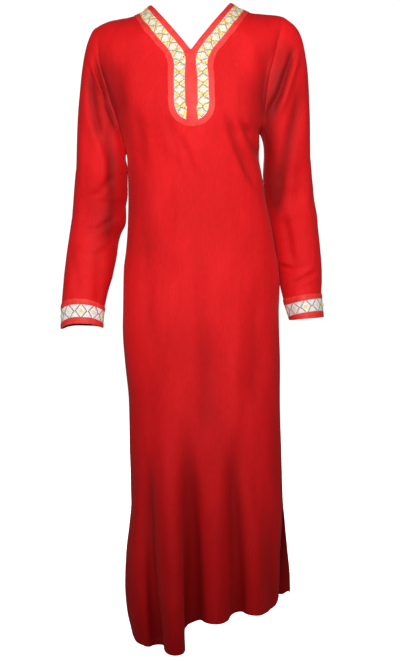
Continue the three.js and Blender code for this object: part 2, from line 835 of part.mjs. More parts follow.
// A low faceted dome, flat below, standing on a seat and pointing along its normal
function stoneSolid({ point, normal }) {
  const radius = STONE.width / 2;
  const rings = [
    { height: -STONE.seat, radius },
    { height: STONE.height, radius: radius * STONE.top },
  ];
  const positions = [];
  for (const ring of rings) {
    for (let i = 0; i < STONE.sides; i += 1) {
      const turn = (2 * Math.PI * i) / STONE.sides;
      positions.push(ring.radius * Math.cos(turn), ring.radius * Math.sin(turn), ring.height);
    }
  }
  const faces = [];
  for (let i = 0; i < STONE.sides; i += 1) {
    const next = (i + 1) % STONE.sides;
    for (let ring = 0; ring + 1 < rings.length; ring += 1) {
      const low = ring * STONE.sides;
      const high = low + STONE.sides;
      faces.push(low + i, low + next, high + next, low + i, high + next, high + i);
    }
  }
  const topStart = (rings.length - 1) * STONE.sides;
  for (let i = 1; i + 1 < STONE.sides; i += 1) {
    faces.push(topStart, topStart + i, topStart + i + 1, 0, i + 1, i);
  }
  const geometry = new THREE.BufferGeometry();
  geometry.setAttribute("position", new THREE.Float32BufferAttribute(positions, 3));
  geometry.setIndex(faces);
  const upright = new THREE.Vector3(0, 0, 1);
  const turned = new THREE.Quaternion().setFromUnitVectors(upright, normal);
  geometry.applyQuaternion(turned);
  geometry.translate(point.x, point.y, point.z);
  return toSolid(geometry);
}

// Seats stones on a trim's outer face
function withStones(geometry, seats) {
  let solid = toSolid(geometry);
  for (const seat of seats) solid = solid.add(stoneSolid(seat));
  return toGeometry(solid);
}

// A seat on a strip of points, by the way along it in millimetres and the share across it
function seatOnStrip(rows, normals, along, share) {
  const last = rows[0].length - 1;
  const middles = rows.map((row) => row[0].clone().lerp(row[last], 0.5));
  let row = 0;
  let rest = along;
  while (row < rows.length - 2 && rest > middles[row].distanceTo(middles[row + 1])) {
    rest -= middles[row].distanceTo(middles[row + 1]);
    row += 1;
  }
  const t = rest / middles[row].distanceTo(middles[row + 1]);
  const column = Math.min(Math.floor(share * last), last - 1);
  const s = share * last - column;
  const blend = (read) => {
    const low = read(rows[row][column]).clone().lerp(read(rows[row][column + 1]), s);
    const high = read(rows[row + 1][column]).clone().lerp(read(rows[row + 1][column + 1]), s);
    return low.lerp(high, t);
  };
  const normal = blend((point) => normals.get(pointKey(point))).normalize();
  const point = blend((corner) => corner).addScaledVector(normal, GAP + TRIM);
  return { point, normal };
}

function stripLength(rows) {
  const last = rows[0].length - 1;
  let length = 0;
  for (let i = 0; i + 1 < rows.length; i += 1) {
    const from = rows[i][0].clone().lerp(rows[i][last], 0.5);
    length += from.distanceTo(rows[i + 1][0].clone().lerp(rows[i + 1][last], 0.5));
  }
  return length;
}

// Pairs of seats at every repeat of the ribbon's diamonds, near both of its edges, and one
// seat in the ribbon's foot, where only its inner edge is left
function pairedSeats(rows, normals) {
  const seats = [seatOnStrip(rows, normals, STONE.width, 1 - STONE.inset)];
  const length = stripLength(rows);
  for (let along = REPEAT; along < length - STONE.width; along += REPEAT) {
    seats.push(seatOnStrip(rows, normals, along, STONE.inset));
    seats.push(seatOnStrip(rows, normals, along, 1 - STONE.inset));
  }
  return seats;
}

// One seat in the middle of every second diamond round a cuff
function cuffSeats(rings, normals) {
  const columns = rings[0].map((unused, index) => rings.map((ring) => ring[index]));
  const length = stripLength(columns);
  const seats = [];
  for (let i = 0; i < CUFF_REPEATS; i += 2) {
    seats.push(seatOnStrip(columns, normals, (length * (i + 0.5)) / CUFF_REPEATS, 0.5));
  }
  return seats;
}

function cutColumns(rows, from, to) {
  return rows.map((row) => row.slice(from, to + 1));
}

const front = panelSurface("front");
const back = panelSurface("back");
const sleeves = {};
for (const side of SIDE_NAMES) {
  sleeves[side] = sleeveSurface(side, front.halves[side], back.halves[side]);
}
const allPatches = [front, back, sleeves.right, sleeves.left].flatMap((part) => part.patches);
const NORMALS = pointNormals(allPatches);

const group = new THREE.Group();

function addPiece(name, geometry, material) {
  const mesh = new THREE.Mesh(geometry, material);
  mesh.name = name;
  group.add(mesh);
}

function addCloth(name, patches) {
  addPiece(name, wallGeometry(patches, NORMALS, -CLOTH, 0), CLOTH_RED);
}

function trimGeometry(patches) {
  return wallGeometry(patches, NORMALS, GAP, GAP + TRIM);
}

// Rows of a front half at which the outer band and the ribbons start
const BAND_ROW = 1;
const RIBBON_ROW = 2;

// The strip of a half's rows between two edges of its trim
function trimStrip(face, rows, from, to) {
  const outer = face === "front" ? FRONT_COLUMNS - TRIM_COLUMNS : BACK_COLUMNS;
  return cutColumns(rows, outer + TRIM_STARTS[from], outer + TRIM_STARTS[to]);
}

// The front trim of one side: the binding and the ribbon beside the opening
function addFrontTrim(side) {
  const flip = side === "left";
  const rows = front.halves[side].slice(RIBBON_ROW);
  const binding = [{ rows: trimStrip("front", rows, "binding", "neck"), flip }];
  addPiece(`neck_binding_${side}`, trimGeometry(binding), BAND_CORAL);
  const ribbonRows = trimStrip("front", rows, "ribbon", "binding");
  const ribbon = trimGeometry([{ rows: ribbonRows, flip }]);
  const seats = pairedSeats(ribbonRows, NORMALS);
  addPiece(`neck_ribbon_${side}`, withStones(ribbon, seats), RIBBON_WHITE);
}

// The outer band goes down one side of the ribbons, round their foot and up the other side
function addFrontBand() {
  const patches = [];
  for (const side of SIDE_NAMES) {
    const flip = side === "left";
    const rows = front.halves[side].slice(BAND_ROW);
    const foot = rows.slice(0, RIBBON_ROW - BAND_ROW + 1);
    patches.push({ rows: trimStrip("front", rows, "band", "ribbon"), flip });
    patches.push({ rows: trimStrip("front", foot, "ribbon", "neck"), flip });
  }
  addPiece("neck_band_front", trimGeometry(patches), BAND_CORAL);
}

// A strip of the back neck's trim, across both halves
function backTrim(from, to) {
  return SIDE_NAMES.map((side) => ({
    rows: trimStrip("back", back.halves[side].slice(NECK_ROW), from, to),
    flip: side === "right",
  }));
}

function addCuff(side) {
  const rings = sleeves[side].rows.slice(-CUFF_EDGES.length);
  const names = ["upper_band", "ribbon", "lower_band"];
  names.forEach((name, index) => {
    const rows = rings.slice(index, index + 2);
    let geometry = trimGeometry([{ rows, flip: side === "right" }]);
    const isRibbon = name === "ribbon";
    if (isRibbon) geometry = withStones(geometry, cuffSeats(rows, NORMALS));
    addPiece(`cuff_${name}_${side}`, geometry, isRibbon ? RIBBON_WHITE : BAND_CORAL);
  });
}

addCloth("front_panel", front.patches);
addCloth("back_panel", back.patches);
addCloth("sleeve_right", sleeves.right.patches);
addCloth("sleeve_left", sleeves.left.patches);
addFrontTrim("right");
addFrontTrim("left");
addFrontBand();
addPiece("back_neck_binding", trimGeometry(backTrim("binding", "neck")), BAND_CORAL);
addPiece("back_neck_ribbon", trimGeometry(backTrim("ribbon", "binding")), RIBBON_WHITE);
addPiece("back_neck_band", trimGeometry(backTrim("band", "ribbon")), BAND_CORAL);
addCuff("right");
addCuff("left");

export default group;
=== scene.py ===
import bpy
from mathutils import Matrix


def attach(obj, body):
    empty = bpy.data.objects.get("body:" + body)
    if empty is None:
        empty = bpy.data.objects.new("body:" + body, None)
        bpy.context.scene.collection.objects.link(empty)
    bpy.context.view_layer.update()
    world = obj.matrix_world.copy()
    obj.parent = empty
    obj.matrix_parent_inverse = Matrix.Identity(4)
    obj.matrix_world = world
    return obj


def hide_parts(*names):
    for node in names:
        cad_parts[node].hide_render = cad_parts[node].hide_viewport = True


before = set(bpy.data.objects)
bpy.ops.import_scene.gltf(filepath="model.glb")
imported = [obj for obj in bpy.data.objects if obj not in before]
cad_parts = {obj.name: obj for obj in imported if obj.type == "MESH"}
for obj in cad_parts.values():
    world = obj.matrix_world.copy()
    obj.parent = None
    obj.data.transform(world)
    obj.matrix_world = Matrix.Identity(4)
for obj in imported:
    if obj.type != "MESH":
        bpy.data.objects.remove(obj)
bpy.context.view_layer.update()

import math

import bpy
import numpy as np
from mathutils import Matrix
from mathutils import Vector
from mathutils import noise
from mathutils.kdtree import KDTree

# Measures are in millimetres until a mesh is made, as on the maker's cutting table
MM = 0.001

# Thickness of the cloth and of the trims, and the gap under a trim
CLOTH = 1.5
TRIM = 1.0
GAP = 0.3

# Body sections are ovals between an ellipse and a box, and turn over the shoulders on a roll
OVAL = 2.4
ROLL = 60.0
ROLL_RUN = ROLL * math.pi / 2

# The coarse grid of each panel, and how many fine cells go into a coarse one
FRONT_COLUMNS = 16
BACK_COLUMNS = 12
TRIM_COLUMNS = 4
SLIT_ROWS = 6
SKIRT_ROWS = 14
YOKE_ROWS = 12
NECK_ROW = 6
BAND_ROW = 1
RIBBON_ROW = 2
CORNER_ROW = 3
CROWDING = 0.35
FINE_COLUMNS = 4
FINE_YOKE = 6
FINE_SKIRT = 12
FINE_CUFF = 3

# Distances from the neck edge to the edges of the band, the ribbon and the binding, and the
# same from the centre line below the V
TRIM_EDGES = np.array([46, 34, 22.75, 11.5, 0])
CENTRE_EDGES = np.array([47, 35, 23.9, 12.8, 0])
TRIM_STARTS = {"band": 0, "ribbon": 1, "binding": 3, "neck": 4}

# The foot of the V, and the levels of the rows between the armpit and it
V_FOOT = -81
FRONT_CENTRE_LEVELS = [-268, -235, -223, -188, -166, -134, V_FOOT]

# The rounded lower corners of the trim, and how far its edges drop below the foot of the V
CORNER_LEVEL = -188
CORNER_START = 0
CORNER_POWER = 2.1
FOOT_DROP = 30
FOOT_CURVE = 0.7

# The back of the neck, the neck points, and the level that the folds grow down to
BACK_SCOOP = -68
BACK_CENTRE_LEVELS = [-268, -242, -216, -190, -164, -137]
NECK_POINTS = {"right": -86, "left": 81}
FOLD_FOOT = -1320

# Steps for slopes and for walks over the surface, and names used throughout
STEP = 0.01
WALK_STEPS = 6
SIDES_OF_BODY = ["right", "left"]
OUTWARDS = {"right": -1.0, "left": 1.0}
FACES = ["front", "back"]
CURVE_SAMPLES = 241
TINY = 1e-12


def smooth_curve(places, values):
    """A smooth curve through the values that never swings past them."""
    places = np.asarray(places, float)
    values = np.asarray(values, float)
    slopes = np.diff(values) / np.diff(places)
    tangents = np.empty(len(values))
    tangents[0] = slopes[0]
    tangents[-1] = slopes[-1]
    for i in range(1, len(values) - 1):
        before = slopes[i - 1]
        after = slopes[i]
        tangents[i] = 0 if before * after <= 0 else 2 * before * after / (before + after)

    def read(place):
        at = np.clip(place, places[0], places[-1])
        i = np.clip(np.searchsorted(places, at) - 1, 0, len(places) - 2)
        span = places[i + 1] - places[i]
        t = (at - places[i]) / span
        rise = t * t * (3 - 2 * t)
        start = t * (1 - t) * (1 - t) * span * tangents[i]
        end = t * t * (t - 1) * span * tangents[i + 1]
        return values[i] + (values[i + 1] - values[i]) * rise + start + end

    return read


def table(columns, rows):
    """One smooth reader for each named column, read by the first column."""
    rows = sorted(rows)
    places = [row[0] for row in rows]
    readers = {}
    for index, name in enumerate(columns[1:], start=1):
        readers[name] = smooth_curve(places, [row[index] for row in rows])
    return readers


def records(columns, rows):
    return [dict(zip(columns, row)) for row in rows]


# The centre line of the garment, which sways a little to the wearer's left
CENTRE = table(["z", "x"], [
    [0, -2], [-81, -2], [-142, -1], [-218, 1], [-268, 4], [-333, 8], [-447, 15], [-569, 20],
    [-731, 22], [-906, 28], [-1040, 31], [-1219, 33], [-1345, 31],
])

# Where the side of the body lies at each level
SIDES = table(["z", "right", "left"], [
    [0, -216, 207],
    [-60, -212, 191],
    [-95, -207, 184],
    [-141, -192, 171],
    [-183, -177, 163],
    [-225, -160, 154],
    [-250, -151, 142],
    [-296, -138, 141],
    [-333, -136, 147],
    [-387, -135, 156],
    [-447, -137, 169],
    [-494, -141, 177],
    [-534, -146, 185],
    [-569, -147, 188],
    [-623, -148, 186],
    [-666, -149, 187],
    [-731, -145, 189],
    [-818, -137, 190],
    [-906, -135, 193],
    [-1040, -132, 198],
    [-1084, -136, 203],
    [-1152, -145, 210],
    [-1219, -148, 216],
    [-1265, -145, 217],
    [-1345, -124, 214],
])

# How far the front and the back stand out from the side seams
DEPTHS = table(["z", "front", "back"], [
    [0, 72, 76],
    [-50, 84, 92],
    [-100, 98, 102],
    [-150, 112, 105],
    [-210, 121, 102],
    [-260, 117, 94],
    [-350, 108, 90],
    [-450, 105, 106],
    [-560, 108, 122],
    [-700, 112, 125],
    [-900, 118, 125],
    [-1100, 126, 128],
    [-1345, 132, 134],
])

# The chest is turned slightly to the wearer's right: the sideways slope of each level
TURN = table(["z", "slope"], [[-600, 0], [-450, 0.03], [-250, 0.08], [0, 0.08]])

# The line along the tops of the shoulders, up to the stand of the neckline
SHOULDER = table(["x", "z"], [
    [-216, -36], [-200, -25], [-171, -13], [-123, -4], [-105, 3], [-86, 18], [-40, 22], [0, 24],
    [40, 23], [81, 20], [100, 9], [126, 0], [165, -3], [190, -7], [207, -14],
])

# The armhole seams, from the tip of the shoulder to the armpit
ARMHOLES = {
    "right": table(["z", "x"], [
        [-25, -200], [-65, -196], [-97, -193], [-142, -181], [-183, -169], [-225, -155],
        [-263, -145], [-290, -138],
    ]),
    "left": table(["z", "x"], [
        [-7, 190], [-45, 181], [-79, 173], [-132, 160], [-181, 153], [-215, 149],
        [-235, 145], [-250, 142],
    ]),
}
SHOULDER_TIPS = {"right": -25, "left": -7}
ARMPITS = {"right": -290, "left": -250}

# The side seams end in slits, below which each panel has its own side edge
SLIT_TOP = -1040
SLITS = table(["z", "front_left_in", "back_right_in", "open"], [
    [-1345, 28, 12, 24],
    [-1260, 29, 10, 22],
    [-1152, 20, 6, 16],
    [-1090, 9, 2, 8],
    [-1040, 0, 0, 0],
])

# Levels of the hem along the front and the back
HEMS = {
    "front": table(["x", "z"], [
        [-135, -1320], [-112, -1333], [-80, -1334], [-62, -1326], [-42, -1329], [-22, -1328],
        [-12, -1318], [-2, -1292], [10, -1276], [24, -1271], [77, -1269], [101, -1257],
        [164, -1262], [180, -1258], [190, -1243],
    ]),
    "back": table(["x", "z"], [
        [-150, -1318], [-60, -1306], [60, -1292], [150, -1281], [200, -1277], [218, -1255],
    ]),
}

# Folds of the skirt: each starts at a level and place, and grows down to the hem
FOLD_COLUMNS = ["start_z", "start_x", "hem_x", "start_width", "hem_width", "height", "lean"]
FOLDS = {
    "front": records(FOLD_COLUMNS, [
        [-640, -58, -44, 44, 22, 42, 6],
        [-1000, -86, -76, 16, 11, -14, 0],
        [-980, -104, -102, 26, 20, 8, 0],
        [-930, -4, 2, 20, 15, -22, 0],
        [-860, 44, 50, 30, 20, 13, 0],
        [-1000, 88, 93, 18, 13, -13, 0],
        [-940, 130, 136, 26, 19, 9, 0],
    ]),
    "back": records(FOLD_COLUMNS, [
        [-620, -84, -96, 34, 22, 15, 0],
        [-760, -34, -42, 26, 18, -15, 0],
        [-680, 20, 12, 34, 22, 19, 0],
        [-800, 70, 72, 26, 18, -14, 0],
        [-720, 120, 132, 34, 24, 14, 0],
    ]),
}
KNEE = {"x": 45, "z": -765, "width": 26, "length": 95, "depth": 7}

# The main fold's left flank is drawn together into a steep edge towards the hem
TUCK = table(["z", "x", "squeeze"], [
    [-1345, -8, 0.72], [-1300, -10, 0.7], [-1230, -15, 0.6], [-1150, -23, 0.45],
    [-1060, -26, 0.25], [-950, -30, 0],
])
TUCK_WIDTH = 22

# Sleeves: centre line, half width across the arm and half depth through it, at each level
SLEEVES = {
    "right": table(["z", "x", "y", "across", "through"], [
        [-322, -192, 18, 55, 55],
        [-346, -194, 24, 56.5, 56],
        [-388, -196.5, 31, 58.5, 55],
        [-420, -200, 30, 58, 53],
        [-452, -207, 24, 55, 51],
        [-494, -213.5, 13, 54, 48],
        [-536, -220, 0, 52, 45],
        [-576, -227.5, -13, 48, 42],
        [-617, -232, -25, 45.5, 39.5],
        [-651, -233, -35, 44, 37.5],
    ]),
    "left": table(["z", "x", "y", "across", "through"], [
        [-297, 202, 14, 49, 54],
        [-333, 203, 22, 52, 54],
        [-367, 206, 26, 53, 54],
        [-397, 210.5, 29, 52, 53],
        [-431, 217.5, 30, 52, 52],
        [-453, 221, 30, 50.5, 51],
        [-496, 227.5, 29, 49, 49],
        [-536, 232.5, 26, 47.5, 47],
        [-570, 235, 20, 45.5, 45.5],
        [-598, 238, 14, 41.5, 44.5],
        [-624, 243, 9, 38.5, 44],
        [-642, 246, 5, 35.5, 43.5],
    ]),
}
SLEEVE_ENDS = {"right": {"top": -322, "foot": -650}, "left": {"top": -297, "foot": -642}}
CAP_ROWS = 8
ARM_ROWS = 9
FINE_CAP = 8
FINE_ARM = 10
CUFF_EDGES = [46.5, 35, 9.3, 0]
FRAME_REACH = 8

# How far the cuff hangs lower at its outer and inner side than at its middle
CUFF_DROPS = {"right": (10, 6.5), "left": (0, 0)}
DROP_START = 190
DROP_RUN = 140
HEADS = {
    "right": {"tip_out": 0.92, "tip_down": 0.4, "tip_length": 118, "tip_finish": 0.9,
              "under_out": 0.5, "under_down": 0.87, "under_length": 28},
    "left": {"tip_out": 0.9, "tip_down": 0.43, "tip_length": 119, "tip_finish": 2.6,
             "under_out": 0.8, "under_down": 0.6, "under_length": 36},
}
UNDER_FINISH = 0.9
CREASE_COLUMNS = ["z", "around", "length", "spread", "depth"]
CREASES = {
    "right": records(CREASE_COLUMNS, [
        [-395, 150, 13, 50, -3.5],
        [-430, 165, 12, 45, 3],
        [-470, 140, 14, 50, -2.5],
        [-548, 120, 12, 60, -2],
    ]),
    "left": records(CREASE_COLUMNS, [
        [-372, 95, 15, 45, -3],
        [-415, 120, 15, 45, 2.5],
        [-545, 110, 12, 55, -3],
        [-580, 100, 11, 60, -2.5],
    ]),
}

# Stones and the repeat of the ribbon's diamonds
STONE_WIDTH = 7.0
STONE_INSET = 0.21
REPEAT = 23.6
CUFF_REPEATS = 10


def mix(a, b, t):
    return a + (b - a) * t


def grow(t):
    within = np.clip(t, 0, 1)
    return within * within * (3 - 2 * within)


def across(angle):
    """How far across an oval an angle lies, from -1 at the right seam to 1 at the left."""
    cosine = np.cos(angle)
    return -np.sign(cosine) * np.abs(cosine) ** (2 / OVAL)


def outward(angle):
    """How far out from the seams an angle lies, from 0 at a seam to 1 at the centre."""
    return np.maximum(np.sin(angle), 0) ** (2 / OVAL)


def side_x(face, angle, z):
    centre = CENTRE["x"](z)
    share = across(angle)
    right_in = SLITS["back_right_in"](z) if face == "back" else 0
    left_in = SLITS["front_left_in"](z) if face == "front" else 0
    to_right = centre + (centre - SIDES["right"](z) - right_in) * share
    to_left = centre + (SIDES["left"](z) - left_in - centre) * share
    return np.where(share < 0, to_right, to_left)


def angle_at(x, z):
    centre = CENTRE["x"](z)
    reach = np.where(x < centre, centre - SIDES["right"](z), SIDES["left"](z) - centre)
    share = np.minimum(np.abs(x - centre) / reach, 1)
    from_seam = np.arccos(share ** (OVAL / 2))
    return np.where(x < centre, from_seam, math.pi - from_seam)


def folds_at(face, x, z):
    """How far the large folds push the cloth out, and aside."""
    out = np.zeros(np.broadcast(x, z).shape)
    aside = np.zeros(out.shape)
    for fold in FOLDS[face]:
        t = np.clip((fold["start_z"] - z) / (fold["start_z"] - FOLD_FOOT), 0, 1)
        width = mix(fold["start_width"], fold["hem_width"], t)
        distance = (x - mix(fold["start_x"], fold["hem_x"], t)) / width
        bump = np.exp(-distance * distance) * grow(t)
        out = out + fold["height"] * bump
        aside = aside + fold["lean"] * bump
    if face == "front":
        off = (x - KNEE["x"]) / KNEE["width"]
        along = (z - KNEE["z"]) / KNEE["length"]
        out = out - KNEE["depth"] * np.exp(-off * off - along * along)
        off = x - TUCK["x"](z)
        aside = aside - TUCK["squeeze"](z) * off * np.exp(-(off / TUCK_WIDTH) ** 2)
    return out, aside


def body_point(face, angle, z, roll=1.0):
    """Points of the body's outer surface."""
    angle, z = np.broadcast_arrays(np.asarray(angle, float), np.asarray(z, float))
    forward = -1 if face == "front" else 1
    x = side_x(face, angle, z)
    fullness = outward(angle)
    out, aside = folds_at(face, x, z)
    depth = DEPTHS[face](z) * fullness * roll
    parted = SLITS["open"](z) * (1 - fullness)
    y = forward * (depth + parted + out * fullness) - x * TURN["slope"](z)
    return np.stack([x + aside * fullness, y, z], axis=-1)


def shoulder_top(angle):
    return SHOULDER["z"](side_x("front", angle, 0))


def yoke_point(face, places):
    """Points above the armpits, by angle and by way down from the top of the shoulder."""
    angle = places[..., 0]
    run = places[..., 1]
    rolled = np.minimum(run / ROLL, math.pi / 2)
    below = np.maximum(run - ROLL_RUN, 0)
    fall = ROLL * (1 - np.cos(rolled)) + below
    return body_point(face, angle, shoulder_top(angle) - fall, np.sin(rolled))


def run_at(angle, z):
    fall = np.maximum(shoulder_top(angle) - z, 0)
    rolled = ROLL * np.arccos(np.clip(1 - fall / ROLL, -1, 1))
    return np.where(fall < ROLL, rolled, ROLL_RUN + fall - ROLL)


def place_at(x, z):
    x, z = np.broadcast_arrays(np.asarray(x, float), np.asarray(z, float))
    angle = angle_at(x, z)
    return np.stack([angle, run_at(angle, z)], axis=-1)


def slopes_at(face, place):
    here = yoke_point(face, place)
    turned = yoke_point(face, place + np.array([STEP / ROLL, 0]))
    lowered = yoke_point(face, place + np.array([0, STEP]))
    return (turned - here) * ROLL / STEP, (lowered - here) / STEP


def unit(vectors):
    lengths = np.linalg.norm(vectors, axis=-1, keepdims=True)
    return vectors / np.maximum(lengths, TINY)


def lengths_along(line):
    """The stride from each point of a line to the next, and the way to each point."""
    strides = np.linalg.norm(np.diff(line, axis=0), axis=1)
    return strides, np.concatenate([[0], np.cumsum(strides)])


def shares_of(count):
    """Even shares from 0 up towards 1, without the 1."""
    return np.arange(count) / count


def turns_round(count):
    """Even turns once round, in radians."""
    return 2 * math.pi * np.arange(count) / count


def walk(face, start, direction, distance):
    """Goes over the yoke surface from a place, in a direction, for a distance."""
    place = np.array(start, float)
    stride = unit(direction) * distance / WALK_STEPS
    for _ in range(WALK_STEPS):
        by_angle, by_run = slopes_at(face, place)
        aa = by_angle @ by_angle
        ar = by_angle @ by_run
        rr = by_run @ by_run
        determinant = aa * rr - ar * ar
        a = by_angle @ stride
        r = by_run @ stride
        place = place + np.array([a * rr - r * ar, r * aa - a * ar]) / determinant
    return place


def even_places(face, curve, count):
    """Places evenly spaced by length along a curve of places, both ends included."""
    places = curve(np.linspace(0, 1, CURVE_SAMPLES) ** 2)
    lengths = lengths_along(yoke_point(face, places))[1]
    targets = np.linspace(0, lengths[-1], count + 1)
    angle = np.interp(targets, lengths, places[:, 0])
    run = np.interp(targets, lengths, places[:, 1])
    return np.stack([angle, run], axis=-1)


def armhole_places(side):
    """The armhole seam of one face, from the armpit up to the tip of the shoulder."""

    def curve(t):
        z = mix(SHOULDER_TIPS[side], ARMPITS[side], t)
        places = place_at(ARMHOLES[side]["x"](z), z)
        places[0, 1] = 0
        places[-1, 0] = 0 if side == "right" else math.pi
        return places

    return curve


def neck_places(face, side):
    """The neck edge of one face, from its foot at the centre up to the neck point."""
    point_x = NECK_POINTS[side]
    point_z = SHOULDER["z"](point_x)
    centre = CENTRE["x"](V_FOOT)

    def curve(t):
        if face == "front":
            places = place_at(mix(point_x, centre, t), mix(point_z, V_FOOT, t))
        else:
            turn = t * math.pi / 2
            x = mix(centre, point_x, np.cos(turn))
            places = place_at(x, mix(point_z, BACK_SCOOP, np.sin(turn)))
        places[0, 1] = 0
        return places

    return even_places(face, curve, YOKE_ROWS - NECK_ROW)[::-1]


def trim_place_below(side, distance, level):
    """Rounds the lower corners of the trim."""
    aside = max(distance - CORNER_START, 0)
    down = max(CORNER_LEVEL - level, 0)
    rounded = (aside ** CORNER_POWER + down ** CORNER_POWER) ** (1 / CORNER_POWER)
    keep = max(aside, down) / rounded if rounded > 0 else 1
    offset = min(distance, CORNER_START) + aside * keep
    z = level if level > CORNER_LEVEL else CORNER_LEVEL - down * keep
    return place_at(CENTRE["x"](z) + OUTWARDS[side] * offset, z)


def trim_places(face, side, neck, row):
    """Places at the trim's edges, going in to the neck edge, on a row that starts there."""
    outwards = OUTWARDS[side]
    start = neck[row - NECK_ROW]
    top = row == YOKE_ROWS
    foot = row == NECK_ROW
    surface = "front" if top else face
    by_angle, by_run = slopes_at(surface, start)
    before = yoke_point(face, neck[max(row - NECK_ROW - 1, 0)])
    after = yoke_point(face, neck[min(row - NECK_ROW + 1, YOKE_ROWS - NECK_ROW)])
    crossing = np.cross(np.cross(by_angle, by_run), after - before)
    if top:
        crossing = by_angle
    if foot and face == "back":
        crossing = by_run
    away = np.array([0, 0, -1.0]) if foot else np.array([outwards, 0, 0.0])
    crossing = unit(crossing)
    if crossing @ away < 0:
        crossing = -crossing
    places = []
    for distance in TRIM_EDGES:
        if distance == 0:
            places.append(start)
        elif foot and face == "front":
            drop = FOOT_DROP * (distance / TRIM_EDGES[0]) ** FOOT_CURVE
            places.append(place_at(CENTRE["x"](V_FOOT) + outwards * distance, V_FOOT - drop))
        else:
            place = walk(surface, start, crossing, distance)
            if foot and face == "back":
                place[0] = math.pi / 2
            if top:
                place[1] = 0
            places.append(place)
    return np.array(places)


def column_share(t):
    return t + CROWDING * np.sin(np.pi * t) / np.pi


def plain_row(face, edge, row):
    columns = FRONT_COLUMNS if face == "front" else BACK_COLUMNS
    levels = FRONT_CENTRE_LEVELS if face == "front" else BACK_CENTRE_LEVELS
    edge_top = yoke_point(face, edge)[2]
    t = np.linspace(0, 1, columns + 1)
    angle = mix(edge[0], math.pi / 2, column_share(t))
    return np.stack([angle, run_at(angle, mix(edge_top, levels[row], t))], axis=-1)


def yoke_places(face, side):
    """Rows of places of one half of a panel above the armpit, from the armhole inwards."""
    armhole = even_places(face, armhole_places(side), YOKE_ROWS)[::-1]
    neck = neck_places(face, side)
    columns = FRONT_COLUMNS - TRIM_COLUMNS if face == "front" else BACK_COLUMNS
    rows = []
    for row in range(YOKE_ROWS + 1):
        if row < NECK_ROW and (face == "back" or row == 0):
            rows.append(plain_row(face, armhole[row], row))
            continue
        if row >= NECK_ROW:
            trim = trim_places(face, side, neck, row)
        else:
            level = FRONT_CENTRE_LEVELS[row]
            trim = np.array([trim_place_below(side, float(d), level) for d in CENTRE_EDGES])
        t = np.linspace(0, 1, columns + 1)[:, None]
        body = mix(armhole[row], trim[0], t)
        rows.append(np.concatenate([body, trim[1:]]))
    return rows


def between(p0, p1, p2, p3, t):
    """A smooth step from p1 to p2, led by the rows on either side."""
    bend = 2 * p0 - 5 * p1 + 4 * p2 - p3
    twist = 3 * p1 - p0 - 3 * p2 + p3
    return 0.5 * (2 * p1 + (p2 - p0) * t + bend * t * t + twist * t ** 3)


def fine_rows(rows, steps, before=None):
    """Puts smooth rows between the given ones."""
    rows = np.array(rows)
    first = 2 * rows[0] - rows[1] if before is None else before
    last = 2 * rows[-1] - rows[-2]
    led = np.concatenate([[first], rows, [last]])
    made = []
    for i in range(1, len(rows)):
        for k in range(steps):
            made.append(between(led[i - 1], led[i], led[i + 1], led[i + 2], k / steps))
    made.append(rows[-1])
    return np.array(made)


def fine_columns(rows, steps):
    """Puts even columns between the given ones."""
    count = rows.shape[1]
    at = np.linspace(0, count - 1, (count - 1) * steps + 1)
    low = np.minimum(at.astype(int), count - 2)
    t = (at - low)[:, None]
    return rows[:, low] * (1 - t) + rows[:, low + 1] * t


def mirrored(places):
    return np.stack([math.pi - places[..., 0], places[..., 1]], axis=-1)


def round_corner(side, low, row_steps):
    """Puts the trim's columns on the curve of its lower corner."""
    for row in range(BAND_ROW * row_steps, CORNER_ROW * row_steps + 1):
        level = np.interp(row / row_steps, range(NECK_ROW + 1), FRONT_CENTRE_LEVELS)
        for column in range(TRIM_COLUMNS):
            place = trim_place_below(side, CENTRE_EDGES[column], level)
            low[row, column - TRIM_COLUMNS - 1] = place


def fine_yoke(face, side, row_steps):
    """Fine rows of places: those below the foot of the neck edge, and those above it."""
    rows = yoke_places(face, side)
    if face == "front":
        whole = fine_rows(rows, row_steps)
        cut = NECK_ROW * row_steps
        low = whole[:cut + 1].copy()
        high = whole[cut:].copy()
        edge = [row[-1:] for row in rows]
        low[:, -1:] = fine_rows(edge[:NECK_ROW + 1], row_steps)
        high[:, -1:] = fine_rows(edge[NECK_ROW:], row_steps)
        round_corner(side, low, row_steps)
        return low, high
    plain = BACK_COLUMNS + 1
    body = fine_rows([row[:plain] for row in rows], row_steps)
    cut = NECK_ROW * row_steps
    low = body[:cut + 1].copy()
    edge = [row[BACK_COLUMNS:plain] for row in rows]
    low[:, -1:] = fine_rows(edge[:NECK_ROW + 1], row_steps)
    trims = [row[BACK_COLUMNS:] for row in rows[NECK_ROW:]]
    trim = fine_rows(trims, row_steps, before=mirrored(trims[1]))
    high = np.concatenate([body[cut:, :BACK_COLUMNS], trim], axis=1)
    return low, high


def join_halves(right, left):
    return np.concatenate([right, left[:, ::-1][:, 1:]], axis=1)


def skirt_points(face, armpit):
    """Rows from the hem up to the slits, and on up to the armpits."""
    columns = FRONT_COLUMNS if face == "front" else BACK_COLUMNS
    share = column_share(np.linspace(0, 1, columns + 1))
    half = fine_columns((share * math.pi / 2)[None, :, None], FINE_COLUMNS)[0, :, 0]
    angles = np.concatenate([half, math.pi - half[::-1][1:]])
    level = np.full(len(angles), float(FOLD_FOOT))
    for _ in range(3):
        level = HEMS[face]["z"](side_x(face, angles, level))
    rows = []
    for t in shares_of(SLIT_ROWS * FINE_SKIRT):
        rows.append(body_point(face, angles, mix(level, SLIT_TOP, t)))
    for t in shares_of(SKIRT_ROWS * FINE_SKIRT):
        rows.append(body_point(face, angles, mix(SLIT_TOP, armpit[:, 2], t)))
    rows.append(armpit)
    return np.array(rows)


